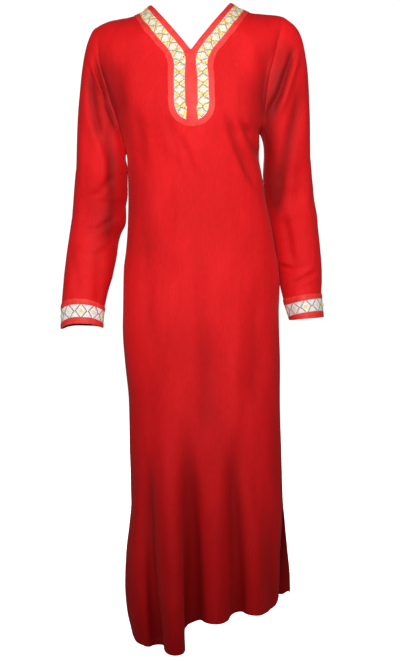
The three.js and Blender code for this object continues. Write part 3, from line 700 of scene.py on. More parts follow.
def panel_grids(face):
    """The grids of points of a panel, and the points of its armhole seams."""
    halves = {}
    for side in SIDES_OF_BODY:
        low, high = YOKES[face, side]
        halves[side] = (yoke_point(face, fine_columns(low, FINE_COLUMNS)),
                        yoke_point(face, fine_columns(high, FINE_COLUMNS)))
    low = join_halves(halves["right"][0], halves["left"][0])
    flip = face == "back"
    grids = [
        (skirt_points(face, low[0]), flip),
        (low, flip),
        (halves["right"][1], flip),
        (halves["left"][1], not flip),
    ]
    seams = {}
    for side in SIDES_OF_BODY:
        lower, upper = halves[side]
        seams[side] = np.concatenate([lower[:, 0], upper[1:, 0]])
    return grids, seams


def sleeve_frame(side, z):
    """The centre of a sleeve's section at a level, and its three axes."""
    sleeve = SLEEVES[side]

    def centre(level):
        return np.array([sleeve["x"](level), sleeve["y"](level), level])

    down = unit(centre(z - FRAME_REACH) - centre(z + FRAME_REACH))
    outwards = np.array([OUTWARDS[side], 0, 0])
    outwards = unit(outwards - down * (outwards @ down))
    forwards = np.array([0, -1.0, 0])
    forwards = forwards - down * (forwards @ down)
    forwards = unit(forwards - outwards * (forwards @ outwards))
    return centre(z), down, outwards, forwards


def crease_at(side, z, around):
    out = np.zeros(len(around))
    for crease in CREASES[side]:
        along = (z - crease["z"]) / crease["length"]
        turned = (around - crease["around"]) / crease["spread"]
        out = out + crease["depth"] * np.exp(-along * along - turned * turned)
    return out


def drop_at(side, z, turns):
    """How far points of the sleeve hang below their level, near the cuff."""
    near = grow((SLEEVE_ENDS[side]["foot"] + DROP_START - z) / DROP_RUN)
    turned = np.cos(turns)
    outer, inner = CUFF_DROPS[side]
    return near * (outer * np.maximum(turned, 0) ** 3 + inner * np.maximum(-turned, 0) ** 3)


def sleeve_ring(side, z, turns):
    """One ring of a sleeve, turning from its outer side round to the front."""
    centre, down, outwards, forwards = sleeve_frame(side, z)
    drop = drop_at(side, z, turns)[:, None] * down
    out = crease_at(side, z, np.degrees(turns))
    wide = (SLEEVES[side]["across"](z) + out) * np.cos(turns)
    deep = (SLEEVES[side]["through"](z) + out) * np.sin(turns)
    return centre + drop + wide[:, None] * outwards + deep[:, None] * forwards


def cap_rings(side, seam, turns):
    """Rings of the sleeve head, from the armhole seam down to the top of the arm's tube."""
    top = SLEEVE_ENDS[side]["top"]
    end = sleeve_ring(side, top, turns)
    down = sleeve_frame(side, top)[1]
    head = HEADS[side]
    high = ((1 + np.cos(turns)) / 2)[:, None]
    out = mix(head["under_out"], head["tip_out"], high)
    fall = mix(head["under_down"], head["tip_down"], high)
    start = unit(np.concatenate([OUTWARDS[side] * out, 0 * out, -fall], axis=1))
    span = np.linalg.norm(end - seam, axis=1, keepdims=True)
    length = mix(head["under_length"], head["tip_length"], high * high)
    start = start * np.minimum(length, span)
    finish = unit(down) * mix(UNDER_FINISH, head["tip_finish"], high * high) * span
    rings = []
    for t in shares_of(CAP_ROWS * FINE_CAP):
        ring = seam * (2 * t ** 3 - 3 * t ** 2 + 1) + start * (t ** 3 - 2 * t ** 2 + t)
        rings.append(ring + end * (3 * t ** 2 - 2 * t ** 3) + finish * (t ** 3 - t ** 2))
    return rings


def sleeve_grid(side, seam):
    """Rings of a sleeve from its seam to the cuff's edge, and the levels of the cuff's edges."""
    turns = turns_round(len(seam))
    rings = cap_rings(side, seam, turns)
    top = SLEEVE_ENDS[side]["top"]
    foot = SLEEVE_ENDS[side]["foot"]
    rise = -sleeve_frame(side, foot)[1][2]
    levels = [foot + rise * edge for edge in CUFF_EDGES]
    for t in shares_of(ARM_ROWS * FINE_ARM):
        rings.append(sleeve_ring(side, mix(top, levels[0], t), turns))
    for i in range(len(levels) - 1):
        for t in shares_of(FINE_CUFF):
            rings.append(sleeve_ring(side, mix(levels[i], levels[i + 1], t), turns))
    rings.append(sleeve_ring(side, levels[-1], turns))
    rings = np.array(rings)
    return np.concatenate([rings, rings[:, :1]], axis=1), levels


# Points that round to the same cell of this many to a millimetre are joined
WELD_CELLS = 100
WELD_SHIFT = 0.137


def weld(grids):
    """Joins grids of points into one list of points and one of faces that look outwards."""
    points = []
    faces = []
    start = 0
    for rows, flip in grids:
        high, wide = rows.shape[:2]
        index = start + np.arange(high * wide).reshape(high, wide)
        quads = np.stack([index[:-1, :-1], index[:-1, 1:], index[1:, 1:], index[1:, :-1]], axis=-1)
        quads = quads.reshape(-1, 4)
        faces.append(quads[:, ::-1] if flip else quads)
        points.append(rows.reshape(-1, 3))
        start += high * wide
    points = np.concatenate(points)
    faces = np.concatenate(faces)
    keys = np.round(points * WELD_CELLS + WELD_SHIFT).astype(np.int64)
    _, first, where = np.unique(keys, axis=0, return_index=True, return_inverse=True)
    return points[first], where.reshape(-1)[faces]


def point_normals(points, faces):
    corners = points[faces]
    across_one = corners[:, 2] - corners[:, 0]
    across_two = corners[:, 3] - corners[:, 1]
    face_normals = np.cross(across_one, across_two)
    normals = np.zeros(points.shape)
    for corner in range(4):
        np.add.at(normals, faces[:, corner], face_normals)
    return unit(normals)


def open_edges(faces):
    """Edges with a face on one side only, in that face's order."""
    starts = faces.reshape(-1)
    ends = np.roll(faces, -1, axis=1).reshape(-1)
    there = {(a, b) for a, b in zip(starts.tolist(), ends.tolist())}
    return [edge for edge in there if (edge[1], edge[0]) not in there]


def placed(name, data):
    """A new object in the scene, at the origin."""
    made = bpy.data.objects.new(name, data)
    bpy.context.collection.objects.link(made)
    return made


def fresh_object(name, points, faces):
    """A new smooth mesh object at the origin, from points in millimetres."""
    mesh = bpy.data.meshes.new(name)
    mesh.from_pydata((np.asarray(points) * MM).tolist(), [], faces)
    mesh.validate()
    made = placed(name, mesh)
    mesh.polygons.foreach_set("use_smooth", [True] * len(mesh.polygons))
    return made


def shell(name, points, faces, thickness):
    """A closed wall that lies under a skin of points."""
    normals = point_normals(points, faces)
    count = len(points)
    rims = [[b, a, a + count, b + count] for a, b in open_edges(faces)]
    inner = faces[:, ::-1] + count
    whole = np.concatenate([points, points - normals * thickness])
    made = fresh_object(name, whole, faces.tolist() + inner.tolist() + rims)
    rim = {tuple(sorted(edge)) for quad in rims for edge in [quad[:2], quad[2:]]}
    mesh = made.data
    crisp = [tuple(sorted(edge.vertices)) in rim for edge in mesh.edges]
    mesh.edges.foreach_set("use_edge_sharp", crisp)
    return made


def tree_of(points):
    tree = KDTree(len(points))
    for i, point in enumerate(points):
        tree.insert(point, i)
    tree.balance()
    return tree


def distance_to(tree, points):
    return np.array([tree.find(point)[2] for point in points])


FAR = 1e9
TAPER = 0.3


def strokes_at(strokes, x, z, shoulders=0.3):
    """How far the listed folds push the cloth out: along each line, tapering to its ends."""
    out = np.zeros(x.shape)
    for line, width, height in strokes:
        line = np.array(line, float)
        pieces, before = lengths_along(line)
        nearest = np.full(x.shape, FAR)
        along = np.zeros(x.shape)
        for i in range(len(pieces)):
            way = (line[i + 1] - line[i]) / pieces[i]
            s = np.clip((x - line[i, 0]) * way[0] + (z - line[i, 1]) * way[1], 0, pieces[i])
            off = np.hypot(x - line[i, 0] - way[0] * s, z - line[i, 1] - way[1] * s)
            closer = off < nearest
            nearest = np.where(closer, off, nearest)
            along = np.where(closer, before[i] + s, along)
        share = along / before[-1]
        taper = grow(np.minimum(share, 1 - share) / TAPER)
        ridge = np.exp(-(nearest / width) ** 2)
        beside = np.exp(-((nearest - 2 * width) / width) ** 2)
        out = out + height * taper * (ridge - shoulders * beside)
    return out


# Listed folds: the line in x and z, the half width and the height, below zero for a hollow
STROKES = {
    "front": [
        ([[62, -186], [88, -262], [144, -384]], 7, -4.2),
        ([[94, -206], [120, -262], [148, -313]], 6, -3.8),
        ([[84, -264], [123, -350]], 6, -2.6),
        ([[-32, -236], [-7, -293], [8, -350]], 7, -2.4),
        ([[-56, -206], [-40, -250], [-20, -300]], 8, -2.2),
        ([[-164, -92], [-156, -149], [-142, -225]], 18, -5.5),
        ([[160, -60], [156, -110], [143, -170], [130, -210]], 20, -5),
        ([[-118, -190], [-108, -260], [-100, -340]], 10, -2.4),
        ([[-30, -300], [-24, -430], [-30, -560]], 18, 2.5),
        ([[60, -330], [80, -430], [100, -540]], 16, 2.0),
        ([[-90, -420], [-96, -560], [-88, -700]], 14, -2.4),
        ([[20, -600], [28, -760], [22, -900]], 14, -2.4),
        ([[84, -640], [90, -800], [84, -960]], 14, 2.4),
        ([[120, -560], [132, -700], [128, -860]], 14, -2.6),
        ([[-57, -840], [-55, -1017], [-45, -1148], [-39, -1280], [-38, -1480]], 17, 9),
        ([[-10, -860], [0, -1017], [2, -1104], [4, -1214], [8, -1480]], 15, -15),
        ([[-96, -900], [-91, -1104], [-85, -1214], [-74, -1324], [-64, -1480]], 11, -10),
        ([[-118, -1040], [-120, -1180], [-118, -1300], [-116, -1480]], 12, 4),
        ([[45, -900], [51, -1104], [53, -1236], [54, -1450]], 13, 6),
        ([[80, -860], [93, -1061], [98, -1170], [98, -1450]], 14, -12),
        ([[136, -980], [141, -1170], [143, -1450]], 13, 6),
        ([[168, -1020], [172, -1150], [176, -1400]], 8, -3),
    ],
    "back": [
        ([[-60, -150], [-70, -260], [-60, -380]], 12, -2.6),
        ([[70, -150], [80, -260], [60, -380]], 12, -2.6),
        ([[-10, -420], [-30, -540], [-20, -680]], 16, -3),
        ([[60, -430], [90, -560], [80, -720]], 14, 3),
        ([[-100, -300], [-60, -400], [10, -440]], 12, -3.2),
        ([[120, -300], [80, -390], [20, -430]], 12, -3),
        ([[-90, -740], [-100, -900], [-96, -1080]], 12, 4),
        ([[100, -760], [110, -930], [104, -1100]], 12, -5),
        ([[-34, -900], [-42, -1100], [-44, -1450]], 13, -7),
        ([[30, -800], [24, -960], [18, -1450]], 13, 6),
        ([[70, -900], [72, -1100], [74, -1450]], 12, -6),
    ],
    "right": [
        ([[-207, -80], [-197, -124], [-182, -161], [-172, -198], [-157, -245]], 4.5, -4.8),
        ([[-214, -95], [-193, -146], [-174, -187], [-162, -222]], 4.5, 3.6),
        ([[-216, -85], [-211, -148], [-204, -200], [-190, -280]], 9, -5.5),
        ([[-180, -225], [-170, -300], [-170, -390]], 9, -5),
        ([[-202, -200], [-190, -251], [-176, -310]], 7, -2.6),
        ([[-233, -200], [-238, -324], [-248, -470]], 10, 2.6),
        ([[-160, -330], [-196, -372], [-226, -382]], 7, -2.2),
        ([[-156, -420], [-200, -448], [-244, -452]], 6, -2.2),
        ([[-170, -470], [-206, -490], [-250, -488]], 7, 1.8),
        ([[-200, -480], [-196, -540], [-200, -620]], 10, -3),
        ([[-262, -470], [-246, -540], [-236, -600]], 8, -1.4),
    ],
    "left": [
        ([[213, -62], [202, -104], [191, -138], [180, -170], [164, -198], [150, -220]], 6, -6),
        ([[227, -62], [215, -104], [204, -140], [194, -173], [182, -204], [170, -240]], 7, 3.6),
        ([[232, -110], [222, -177], [212, -222], [202, -268], [189, -334], [174, -440]], 12, -5),
        ([[238, -180], [244, -290], [248, -440]], 10, 2.6),
        ([[190, -400], [204, -470], [216, -540]], 9, -3.5),
        ([[178, -524], [198, -531], [216, -532]], 5, -3),
        ([[202, -568], [242, -552], [272, -538]], 5, -3),
        ([[204, -548], [240, -538], [266, -528]], 6, 1.8),
    ],
}


# Painted shade: where the cloth lies between folds and in hollows, its colour is darkened to stand
# in for shade: line, half width, share
PAINTED_SHADE = {
    "front": [
        ([[200, -30], [190, -104], [176, -160], [150, -220], [140, -260]], 32, 0.62),
        ([[158, -110], [155, -143], [151, -199], [145, -223]], 8, 0.3),
        ([[-196, -50], [-183, -142], [-160, -220], [-140, -290]], 34, 0.6),
        ([[-194, -90], [-181, -142], [-167, -190], [-149, -252], [-139, -287]], 4.5, 0.8),
        ([[-140, -260], [-130, -400], [-140, -560]], 14, 0.35),
        ([[120, -110], [112, -180], [126, -250]], 22, 0.22),
        ([[-96, -300], [-92, -420], [-100, -540]], 24, 0.2),
        ([[22, -620], [34, -760], [30, -900]], 26, 0.25),
        ([[-10, -780], [0, -1017], [2, -1104], [4, -1214], [8, -1480]], 20, 0.3),
        ([[-96, -860], [-91, -1104], [-85, -1214], [-74, -1324], [-64, -1480]], 15, 0.25),
        ([[80, -780], [93, -1061], [98, -1170], [98, -1450]], 22, 0.22),
        ([[-150, -900], [-146, -1100], [-150, -1450]], 16, 0.3),
        ([[62, -186], [88, -262], [144, -384]], 8, 0.25),
        ([[94, -206], [120, -262], [148, -313]], 7, 0.25),
    ],
    "back": [
        ([[-172, -40], [-162, -110], [-150, -180], [-138, -250]], 20, 0.4),
        ([[172, -40], [162, -110], [150, -180], [138, -250]], 20, 0.4),
        ([[-34, -900], [-42, -1100], [-44, -1450]], 14, 0.3),
        ([[70, -900], [72, -1100], [74, -1450]], 14, 0.3),
    ],
    "right": [
        ([[-206, -60], [-192, -124], [-174, -190], [-150, -275]], 7, 0.8),
        ([[-222, -110], [-200, -160], [-178, -220], [-168, -280]], 16, 0.45),
        ([[-180, -225], [-166, -310], [-172, -400], [-190, -520]], 14, 0.7),
        ([[-170, -380], [-172, -430], [-176, -480]], 14, 0.2),
        ([[-206, -360], [-204, -450], [-208, -540]], 16, 0.22),
        ([[-216, -85], [-211, -148], [-204, -200], [-190, -290]], 10, 0.35),
    ],
    "left": [
        ([[196, -40], [184, -104], [174, -140], [164, -180], [150, -220]], 17, 0.62),
        ([[214, -55], [202, -104], [191, -138], [180, -170], [164, -198], [146, -222]], 5.5, 0.9),
        ([[196, -100], [184, -150], [172, -195], [158, -230]], 13, 0.55),
        ([[232, -110], [222, -177], [212, -222], [202, -268], [189, -334], [174, -460]], 13, 0.5),
        ([[160, -150], [156, -210], [158, -270], [164, -330], [184, -450]], 19, 0.95),
    ],
}


# Painted shade in the folds' hollows: the hollow depth that gives the most, and that most share
HOLLOW_SHADE_FULL = 20
HOLLOW_SHADE_MOST = 0.35


def painted_shade_at(part, points, normals):
    """How much painted shade each point takes, from 0 to 1, darker between folds and in their
    hollows.
    """
    x = points[:, 0]
    z = points[:, 2]
    facing = grow(-normals[:, 1] * 1.6 + 0.2) if part in SIDES_OF_BODY else 1
    # Painted shade in broad zones, and more of it in the hollows of the folds
    broad = strokes_at(PAINTED_SHADE[part], x, z, 0) * facing
    hollow = np.clip(-strokes_at(STROKES[part], x, z, 0) / HOLLOW_SHADE_FULL, 0, HOLLOW_SHADE_MOST)
    hollow = hollow * facing
    return np.clip(broad + hollow, 0, 1)


def crinkle(points, wide, tall, height):
    """Soft unevenness of hanging cloth, longer down than across."""
    scale = np.array([1 / wide, 1 / wide, 1 / tall])
    return height * np.array([noise.noise(Vector(point * scale)) for point in points])


# Seams lie a little low in a narrow line, and folds fade out towards them
SEAM_FADE = 9
SEAM_WIDTH = 3
SEAM_DIP = 0.25
SOFT_FOLDS = [(34, 210, 1.5), (13, 70, 0.55)]


def relief(part, points, normals, seam_tree, dip):
    """How far the finished cloth lies from its smooth form."""
    x = points[:, 0]
    z = points[:, 2]
    out = np.zeros(len(points))
    for wide, tall, height in SOFT_FOLDS:
        out = out + crinkle(points, wide, tall, height)
    facing = grow(-normals[:, 1] * 1.4) if part in SIDES_OF_BODY else 1
    out = out + strokes_at(STROKES[part], x, z) * facing
    distance = distance_to(seam_tree, points)
    out = out * grow(distance / SEAM_FADE)
    return out - dip * np.exp(-(distance / SEAM_WIDTH) ** 2)


def finished_skin(part, grids, seam_tree):
    """The finished outer skin of a cloth piece, and the share of painted shade on each of its
    points.
    """
    points, faces = weld(grids)
    normals = point_normals(points, faces)
    out = relief(part, points, normals, seam_tree, SEAM_DIP)
    return points + normals * out[:, None], faces, painted_shade_at(part, points, normals)


def set_painted_shade(made, shade_shares):
    """Keeps each point's share of painted shade on the mesh, on the outer skin and on the inner
    one.
    """
    # The attribute "deep" holds each point's share of painted shade
    layer = made.data.attributes.new("deep", "FLOAT", "POINT")
    layer.data.foreach_set("value", np.concatenate([shade_shares, shade_shares]).tolist())


# The panels and the sleeves
YOKES = {}
GRIDS = {}
SEAMS = {}
for face_name in FACES:
    for side_name in SIDES_OF_BODY:
        YOKES[face_name, side_name] = fine_yoke(face_name, side_name, FINE_YOKE)
for face_name in FACES:
    GRIDS[face_name], SEAMS[face_name] = panel_grids(face_name)
CUFF_LEVELS = {}
SLEEVE_SEAMS = {}
for side_name in SIDES_OF_BODY:
    front_seam = SEAMS["front"][side_name]
    back_seam = SEAMS["back"][side_name]
    SLEEVE_SEAMS[side_name] = np.concatenate([front_seam[::-1], back_seam[1:-1]])
    grid, levels = sleeve_grid(side_name, SLEEVE_SEAMS[side_name])
    GRIDS[side_name] = [(grid, side_name == "right")]
    CUFF_LEVELS[side_name] = levels


def side_seam(face, column):
    rows = GRIDS[face][0][0]
    return rows[SLIT_ROWS * FINE_SKIRT:, column]


def shoulder_seam(face):
    return np.concatenate([GRIDS[face][2][0][-1], GRIDS[face][3][0][-1]])


SEAM_TREES = {}
for face_name in FACES:
    seam_points = [SEAMS[face_name]["right"], SEAMS[face_name]["left"],
                   side_seam(face_name, 0), side_seam(face_name, -1), shoulder_seam(face_name)]
    SEAM_TREES[face_name] = tree_of(np.concatenate(seam_points))
for side_name in SIDES_OF_BODY:
    SEAM_TREES[side_name] = tree_of(SLEEVE_SEAMS[side_name])


def dress(made, node):
    """Puts a finished piece on the model in place of its plain solid."""
    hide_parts(node)
    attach(made, "root")
    return made


CLOTH_PIECES = {
    "front": ("front_panel", "red_front"),
    "back": ("back_panel", "red_back"),
    "right": ("sleeve_right", "red_sleeve_right"),
    "left": ("sleeve_left", "red_sleeve_left"),
}
cloth = {}
for part_name, (node_name, piece_name) in CLOTH_PIECES.items():
    skin, skin_faces, shade_shares = finished_skin(part_name, GRIDS[part_name], SEAM_TREES[part_name])
    cloth[part_name] = shell(piece_name, skin, skin_faces, CLOTH)
    # Each cloth piece keeps its share of painted shade on its points
    set_painted_shade(cloth[part_name], shade_shares)
    dress(cloth[part_name], node_name)


# Trims: strips of the panels' own places, laid on the finished cloth
TRIM_FINE = 5
CROWN = 0.55
EDGE_CROWN = 0.15
WRAP = [(1.3, 0.7), (1.8, -0.2), (1.6, -1.6), (0.6, -2.7), (-4, -3.0), (-9, -3.2)]


def strip_points(face, places, from_edge, to_edge):
    """Points of a strip between two of the trim's edges, and how far across it each lies."""
    first = places.shape[1] - 1 - TRIM_COLUMNS
    low = first + TRIM_STARTS[from_edge]
    high = first + TRIM_STARTS[to_edge]
    fine = fine_columns(places[:, low:high + 1], TRIM_FINE)
    share = np.linspace(0, 1, fine.shape[1])
    points = yoke_point(face, fine)
    return points, np.broadcast_to(share, points.shape[:2])


def grid_normals(points, flip):
    along = np.gradient(points, axis=0)
    sideways = np.gradient(points, axis=1)
    normals = unit(np.cross(sideways, along))
    return -normals if flip else normals


def lift(part, points, flip, heights, closed=False):
    """Moves a strip out to lie on the finished cloth."""
    normals = grid_normals(points, flip)
    if closed:
        normals[:, -1] = normals[:, 0]
    flat = points.reshape(-1, 3)
    ups = normals.reshape(-1, 3)
    out = relief(part, flat, ups, SEAM_TREES[part], 0) + heights.reshape(-1)
    return (flat + ups * out[:, None]).reshape(points.shape), normals


def crown_of(share, crown):
    return GAP + TRIM + crown * (1 - (2 * share - 1) ** 2)


def wrapped(points, normals):
    """Turns a binding's last column over the edge of the cloth and back on its inside."""
    outwards = unit(points[:, -1] - points[:, -2])
    turned = [points]
    base = points[:, -1] - normals[:, -1] * (GAP + TRIM)
    for out, up in WRAP:
        turned.append((base + outwards * out + normals[:, -1] * up)[:, None])
    return np.concatenate(turned, axis=1)


def trim_grids(face, side, parts, from_edge, to_edge, crown, wrap=False):
    """Lays one strip on the cloth from its parts, low to high, and wraps the last part's edge."""
    flip = side == ("left" if face == "front" else "right")
    strips = [strip_points(face, places, from_edge, to_edge) for places in parts]
    points = np.concatenate([strip[0][:-1] for strip in strips[:-1]] + [strips[-1][0]])
    share = np.concatenate([strip[1][:-1] for strip in strips[:-1]] + [strips[-1][1]])
    lifted, normals = lift(face, points, flip, crown_of(share, crown))
    if not wrap:
        return [(lifted, flip)]
    start = len(points) - len(strips[-1][0])
    grids = [(wrapped(lifted[start:], normals[start:]), flip)]
    return grids + [(lifted[:start + 1], flip)] if start else grids


def strip_uv(made, middles, edges, repeat):
    """Lays the ribbon's own measure on it: repeats along it, and the share across it."""
    middle = np.array(middles)
    lengths = lengths_along(middle)[1] / repeat
    tree = tree_of(middle)
    layer = made.data.uv_layers.new(name="strip")
    points = [vertex.co / MM for vertex in made.data.vertices]
    uvs = []
    for point in points:
        row = tree.find(point)[1]
        low = max(row - 1, 0)
        high = min(row + 1, len(middle) - 1)
        way = middle[high] - middle[low]
        span = np.linalg.norm(way)
        ahead = (np.array(point) - middle[row]) @ way / span
        width = edges[row][1] - edges[row][0]
        off = (np.array(point) - edges[row][0]) @ width / (width @ width)
        uvs.append((lengths[row] + ahead / repeat, off))
    for loop in made.data.loops:
        layer.data[loop.index].uv = uvs[loop.vertex_index]


def ribbon_frame(rows):
    middles = rows[:, rows.shape[1] // 2]
    edges = [(row[0], row[-1]) for row in rows]
    return middles, edges


neck_trims = {}
RIBBON_ROWS = {}
LAID = {}
for side_name in SIDES_OF_BODY:
    low, high = YOKES["front", side_name]
    low = low[RIBBON_ROW * FINE_YOKE:]
    flip = side_name == "left"
    parts = [low, high]
    LAID["binding_" + side_name] = trim_grids("front", side_name, parts, "binding", "neck",
                                              EDGE_CROWN)[0][0]
    binding = trim_grids("front", side_name, parts, "binding", "neck", EDGE_CROWN, wrap=True)
    points, faces = weld(binding)
    neck_trims["binding_" + side_name] = shell("neck_edge_" + side_name, points, faces, TRIM)
    ribbon = trim_grids("front", side_name, parts, "ribbon", "binding", 0)
    points, faces = weld(ribbon)
    made = shell("neck_braid_" + side_name, points, faces, TRIM)
    rows = ribbon[0][0]
    RIBBON_ROWS["neck_" + side_name] = (rows, grid_normals(rows, flip))
    strip_uv(made, *ribbon_frame(rows), REPEAT)
    neck_trims["ribbon_" + side_name] = made

band = []
for side_name in SIDES_OF_BODY:
    low, high = YOKES["front", side_name]
    low = low[BAND_ROW * FINE_YOKE:]
    foot = low[:(RIBBON_ROW - BAND_ROW) * FINE_YOKE + 1]
    LAID["band_" + side_name] = trim_grids("front", side_name, [low, high], "band", "ribbon",
                                           0)[0][0]
    flip = side_name == "left"
    for places in [low, high]:
        band.append((strip_points("front", places, "band", "ribbon")[0], flip))
    band.append((strip_points("front", foot, "ribbon", "neck")[0], flip))
points, faces = weld(band)
normals = point_normals(points, faces)
out = relief("front", points, normals, SEAM_TREES["front"], 0) + GAP + TRIM
neck_trims["band"] = shell("neck_outer_band", points + normals * out[:, None], faces, TRIM)

BACK_TRIMS = [
    ("binding", "neck", "back_neck_edge", CROWN, True),
    ("ribbon", "binding", "back_neck_braid", 0, False),
    ("band", "ribbon", "back_neck_outer_band", CROWN, False),
]
for from_edge, to_edge, piece_name, crown, wrap in BACK_TRIMS:
    grids = []
    for side_name in SIDES_OF_BODY:
        high = YOKES["back", side_name][1]
        grids += trim_grids("back", side_name, [high], from_edge, to_edge, crown, wrap)
    points, faces = weld(grids)
    made = shell(piece_name, points, faces, TRIM)
    neck_trims["back_" + from_edge] = made
    if from_edge == "ribbon":
        rows = np.concatenate([grids[0][0][::-1], grids[1][0][1:]])
        strip_uv(made, *ribbon_frame(rows), REPEAT)

TRIM_NODES = {
    "binding_right": ("neck_binding_right", "band_coral"),
    "binding_left": ("neck_binding_left", "band_coral"),
    "ribbon_right": ("neck_ribbon_right", "ribbon_white"),
    "ribbon_left": ("neck_ribbon_left", "ribbon_white"),
    "band": ("neck_band_front", "band_coral"),
    "back_binding": ("back_neck_binding", "band_coral"),
    "back_ribbon": ("back_neck_ribbon", "ribbon_white"),
    "back_band": ("back_neck_band", "band_coral"),
}
for key, (node_name, slot_name) in TRIM_NODES.items():
    dress(neck_trims[key], node_name)


# Cuffs: three strips right round each sleeve, one below the other
CUFF_STRIPS = [("upper_band", CROWN), ("ribbon", 0), ("lower_band", CROWN)]
CUFF_TURNS = 144
CUFF_FINE = 6
cuffs = {}
for side_name in SIDES_OF_BODY:
    turns = turns_round(CUFF_TURNS)
    levels = CUFF_LEVELS[side_name]
    flip = side_name == "right"
    for index, (strip_name, crown) in enumerate(CUFF_STRIPS):
        shares = np.linspace(0, 1, CUFF_FINE + 1)
        rings = [sleeve_ring(side_name, mix(levels[index], levels[index + 1], share), turns)
                 for share in shares]
        rings = np.array(rings)
        rings = np.concatenate([rings, rings[:, :1]], axis=1)
        heights = np.broadcast_to(crown_of(shares, crown)[:, None], rings.shape[:2])
        lifted, normals = lift(side_name, rings, flip, heights, closed=True)
        lifted[:, -1] = lifted[:, 0]
        LAID["cuff_" + strip_name + "_" + side_name] = lifted
        points, faces = weld([(lifted, flip)])
        made = shell("cuff_" + strip_name + "_cloth_" + side_name, points, faces, TRIM)
        cuffs[side_name, strip_name] = made
        if strip_name == "ribbon":
            rows = lifted.transpose(1, 0, 2)
            RIBBON_ROWS["cuff_" + side_name] = (rows, normals.transpose(1, 0, 2))
            middles, edges = ribbon_frame(rows)
            around = np.linalg.norm(np.diff(middles, axis=0), axis=1).sum()
            strip_uv(made, middles[:-1], edges[:-1], around / CUFF_REPEATS)
        slot_name = "ribbon_white" if strip_name == "ribbon" else "band_coral"
        dress(made, "cuff_" + strip_name + "_" + side_name)


# Stones: one is cut, then copied onto every seat of a ribbon
STONE_HEIGHT = 2.2
STONE_SEAT = 0.4
STONE_SIDES = 12
STONE_SPIN = 0.7


def choose_only(*objects):
    bpy.ops.object.select_all(action="DESELECT")
    for item in objects:
        item.select_set(True)
    bpy.context.view_layer.objects.active = objects[0]


def faces_by(made, test):
    """Selects the faces that a test picks out, and goes into edit mode."""
    for polygon in made.data.polygons:
        polygon.select = test(polygon)
    bpy.ops.object.mode_set(mode="EDIT")


def cut_stone():
    """A round stone with a flat table, a ring of facets and a waist."""
    bpy.ops.object.select_all(action="DESELECT")
    half = (STONE_HEIGHT + STONE_SEAT) / 2 * MM
    bpy.ops.mesh.primitive_cylinder_add(vertices=STONE_SIDES, radius=STONE_WIDTH / 2 * MM,
                                        depth=0.9 * MM, end_fill_type="NGON",
                                        location=(0, 0, 0.05 * MM))
    stone = bpy.context.object
    stone.name = "cut_stone"
    bpy.ops.object.transform_apply(location=True, rotation=False, scale=False)
    faces_by(stone, lambda polygon: polygon.normal.z > 0.9)
    bpy.ops.mesh.select_mode(type="FACE")
    bpy.ops.mesh.extrude_region_move(TRANSFORM_OT_translate={"value": (0, 0, half * 0.75)})
    bpy.ops.transform.resize(value=(0.82, 0.82, 1))
    bpy.ops.mesh.extrude_region_move(TRANSFORM_OT_translate={"value": (0, 0, half * 0.55)})
    bpy.ops.transform.resize(value=(0.62, 0.62, 1))
    bpy.ops.transform.rotate(value=math.pi / STONE_SIDES, orient_axis="Z",
                             center_override=(0, 0, 0))
    bpy.ops.object.mode_set(mode="OBJECT")
    return stone


def seat_on_rows(rows, normals, along, share):
    """A point and normal by the way along a strip and the share across, and its length."""
    middles = (rows[:, 0] + rows[:, -1]) / 2
    strides, lengths = lengths_along(middles)
    row = int(np.clip(np.searchsorted(lengths, along) - 1, 0, len(middles) - 2))
    t = (along - lengths[row]) / strides[row]
    last = rows.shape[1] - 1
    column = min(int(share * last), last - 1)
    s = share * last - column

    def read(values):
        low = mix(values[row, column], values[row, column + 1], s)
        high = mix(values[row + 1, column], values[row + 1, column + 1], s)
        return mix(low, high, t)

    return read(rows), unit(read(normals)), lengths[-1]


def set_stones(name, pattern, seats):
    """Copies of the cut stone, each turned to its seat, joined into one piece."""
    made = []
    for i, (point, normal) in enumerate(seats):
        stone = pattern.copy()
        stone.data = pattern.data.copy()
        turn = Vector(normal).to_track_quat("Z", "Y").to_matrix().to_4x4()
        spin = Matrix.Rotation(STONE_SPIN * i, 4, "Z")
        stone.data.transform(Matrix.Translation(Vector(point * MM)) @ turn @ spin)
        bpy.context.collection.objects.link(stone)
        made.append(stone)
    choose_only(*made)
    if len(made) > 1:
        bpy.ops.object.join()
    joined = bpy.context.view_layer.objects.active
    joined.name = name
    joined.data.name = name
    return joined


cut = cut_stone()
stones = {}
for side_name in SIDES_OF_BODY:
    rows, normals = RIBBON_ROWS["neck_" + side_name]
    length = seat_on_rows(rows, normals, 0, 0.5)[2]
    seats = [seat_on_rows(rows, normals, STONE_WIDTH, 1 - STONE_INSET)[:2]]
    for along in np.arange(REPEAT, length - STONE_WIDTH, REPEAT):
        seats.append(seat_on_rows(rows, normals, along, STONE_INSET)[:2])
        seats.append(seat_on_rows(rows, normals, along, 1 - STONE_INSET)[:2])
    stones["neck_" + side_name] = set_stones("neck_stones_" + side_name, cut, seats)
    rows, normals = RIBBON_ROWS["cuff_" + side_name]
    length = seat_on_rows(rows, normals, 0, 0.5)[2]
    seats = []
    for i in range(0, CUFF_REPEATS, 2):
        seats.append(seat_on_rows(rows, normals, length * (i + 0.5) / CUFF_REPEATS, 0.5)[:2])
    stones["cuff_" + side_name] = set_stones("cuff_stones_" + side_name, cut, seats)
bpy.data.objects.remove(cut)
for made in stones.values():
    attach(made, "root")


# Sewing: small raised stitches along lines of points, thinner and lower at their ends
PITCH = 3.2
STITCH_LONG = 2.3
STITCH_WIDE = 0.42
STITCH_HIGH = 0.28
STITCH_SINK = 0.12
STITCH_SECTIONS = [(0.0, STITCH_WIDE * 0.45, 0.02), (0.28, STITCH_WIDE, STITCH_HIGH),
                   (0.72, STITCH_WIDE, STITCH_HIGH), (1.0, STITCH_WIDE * 0.45, 0.02)]


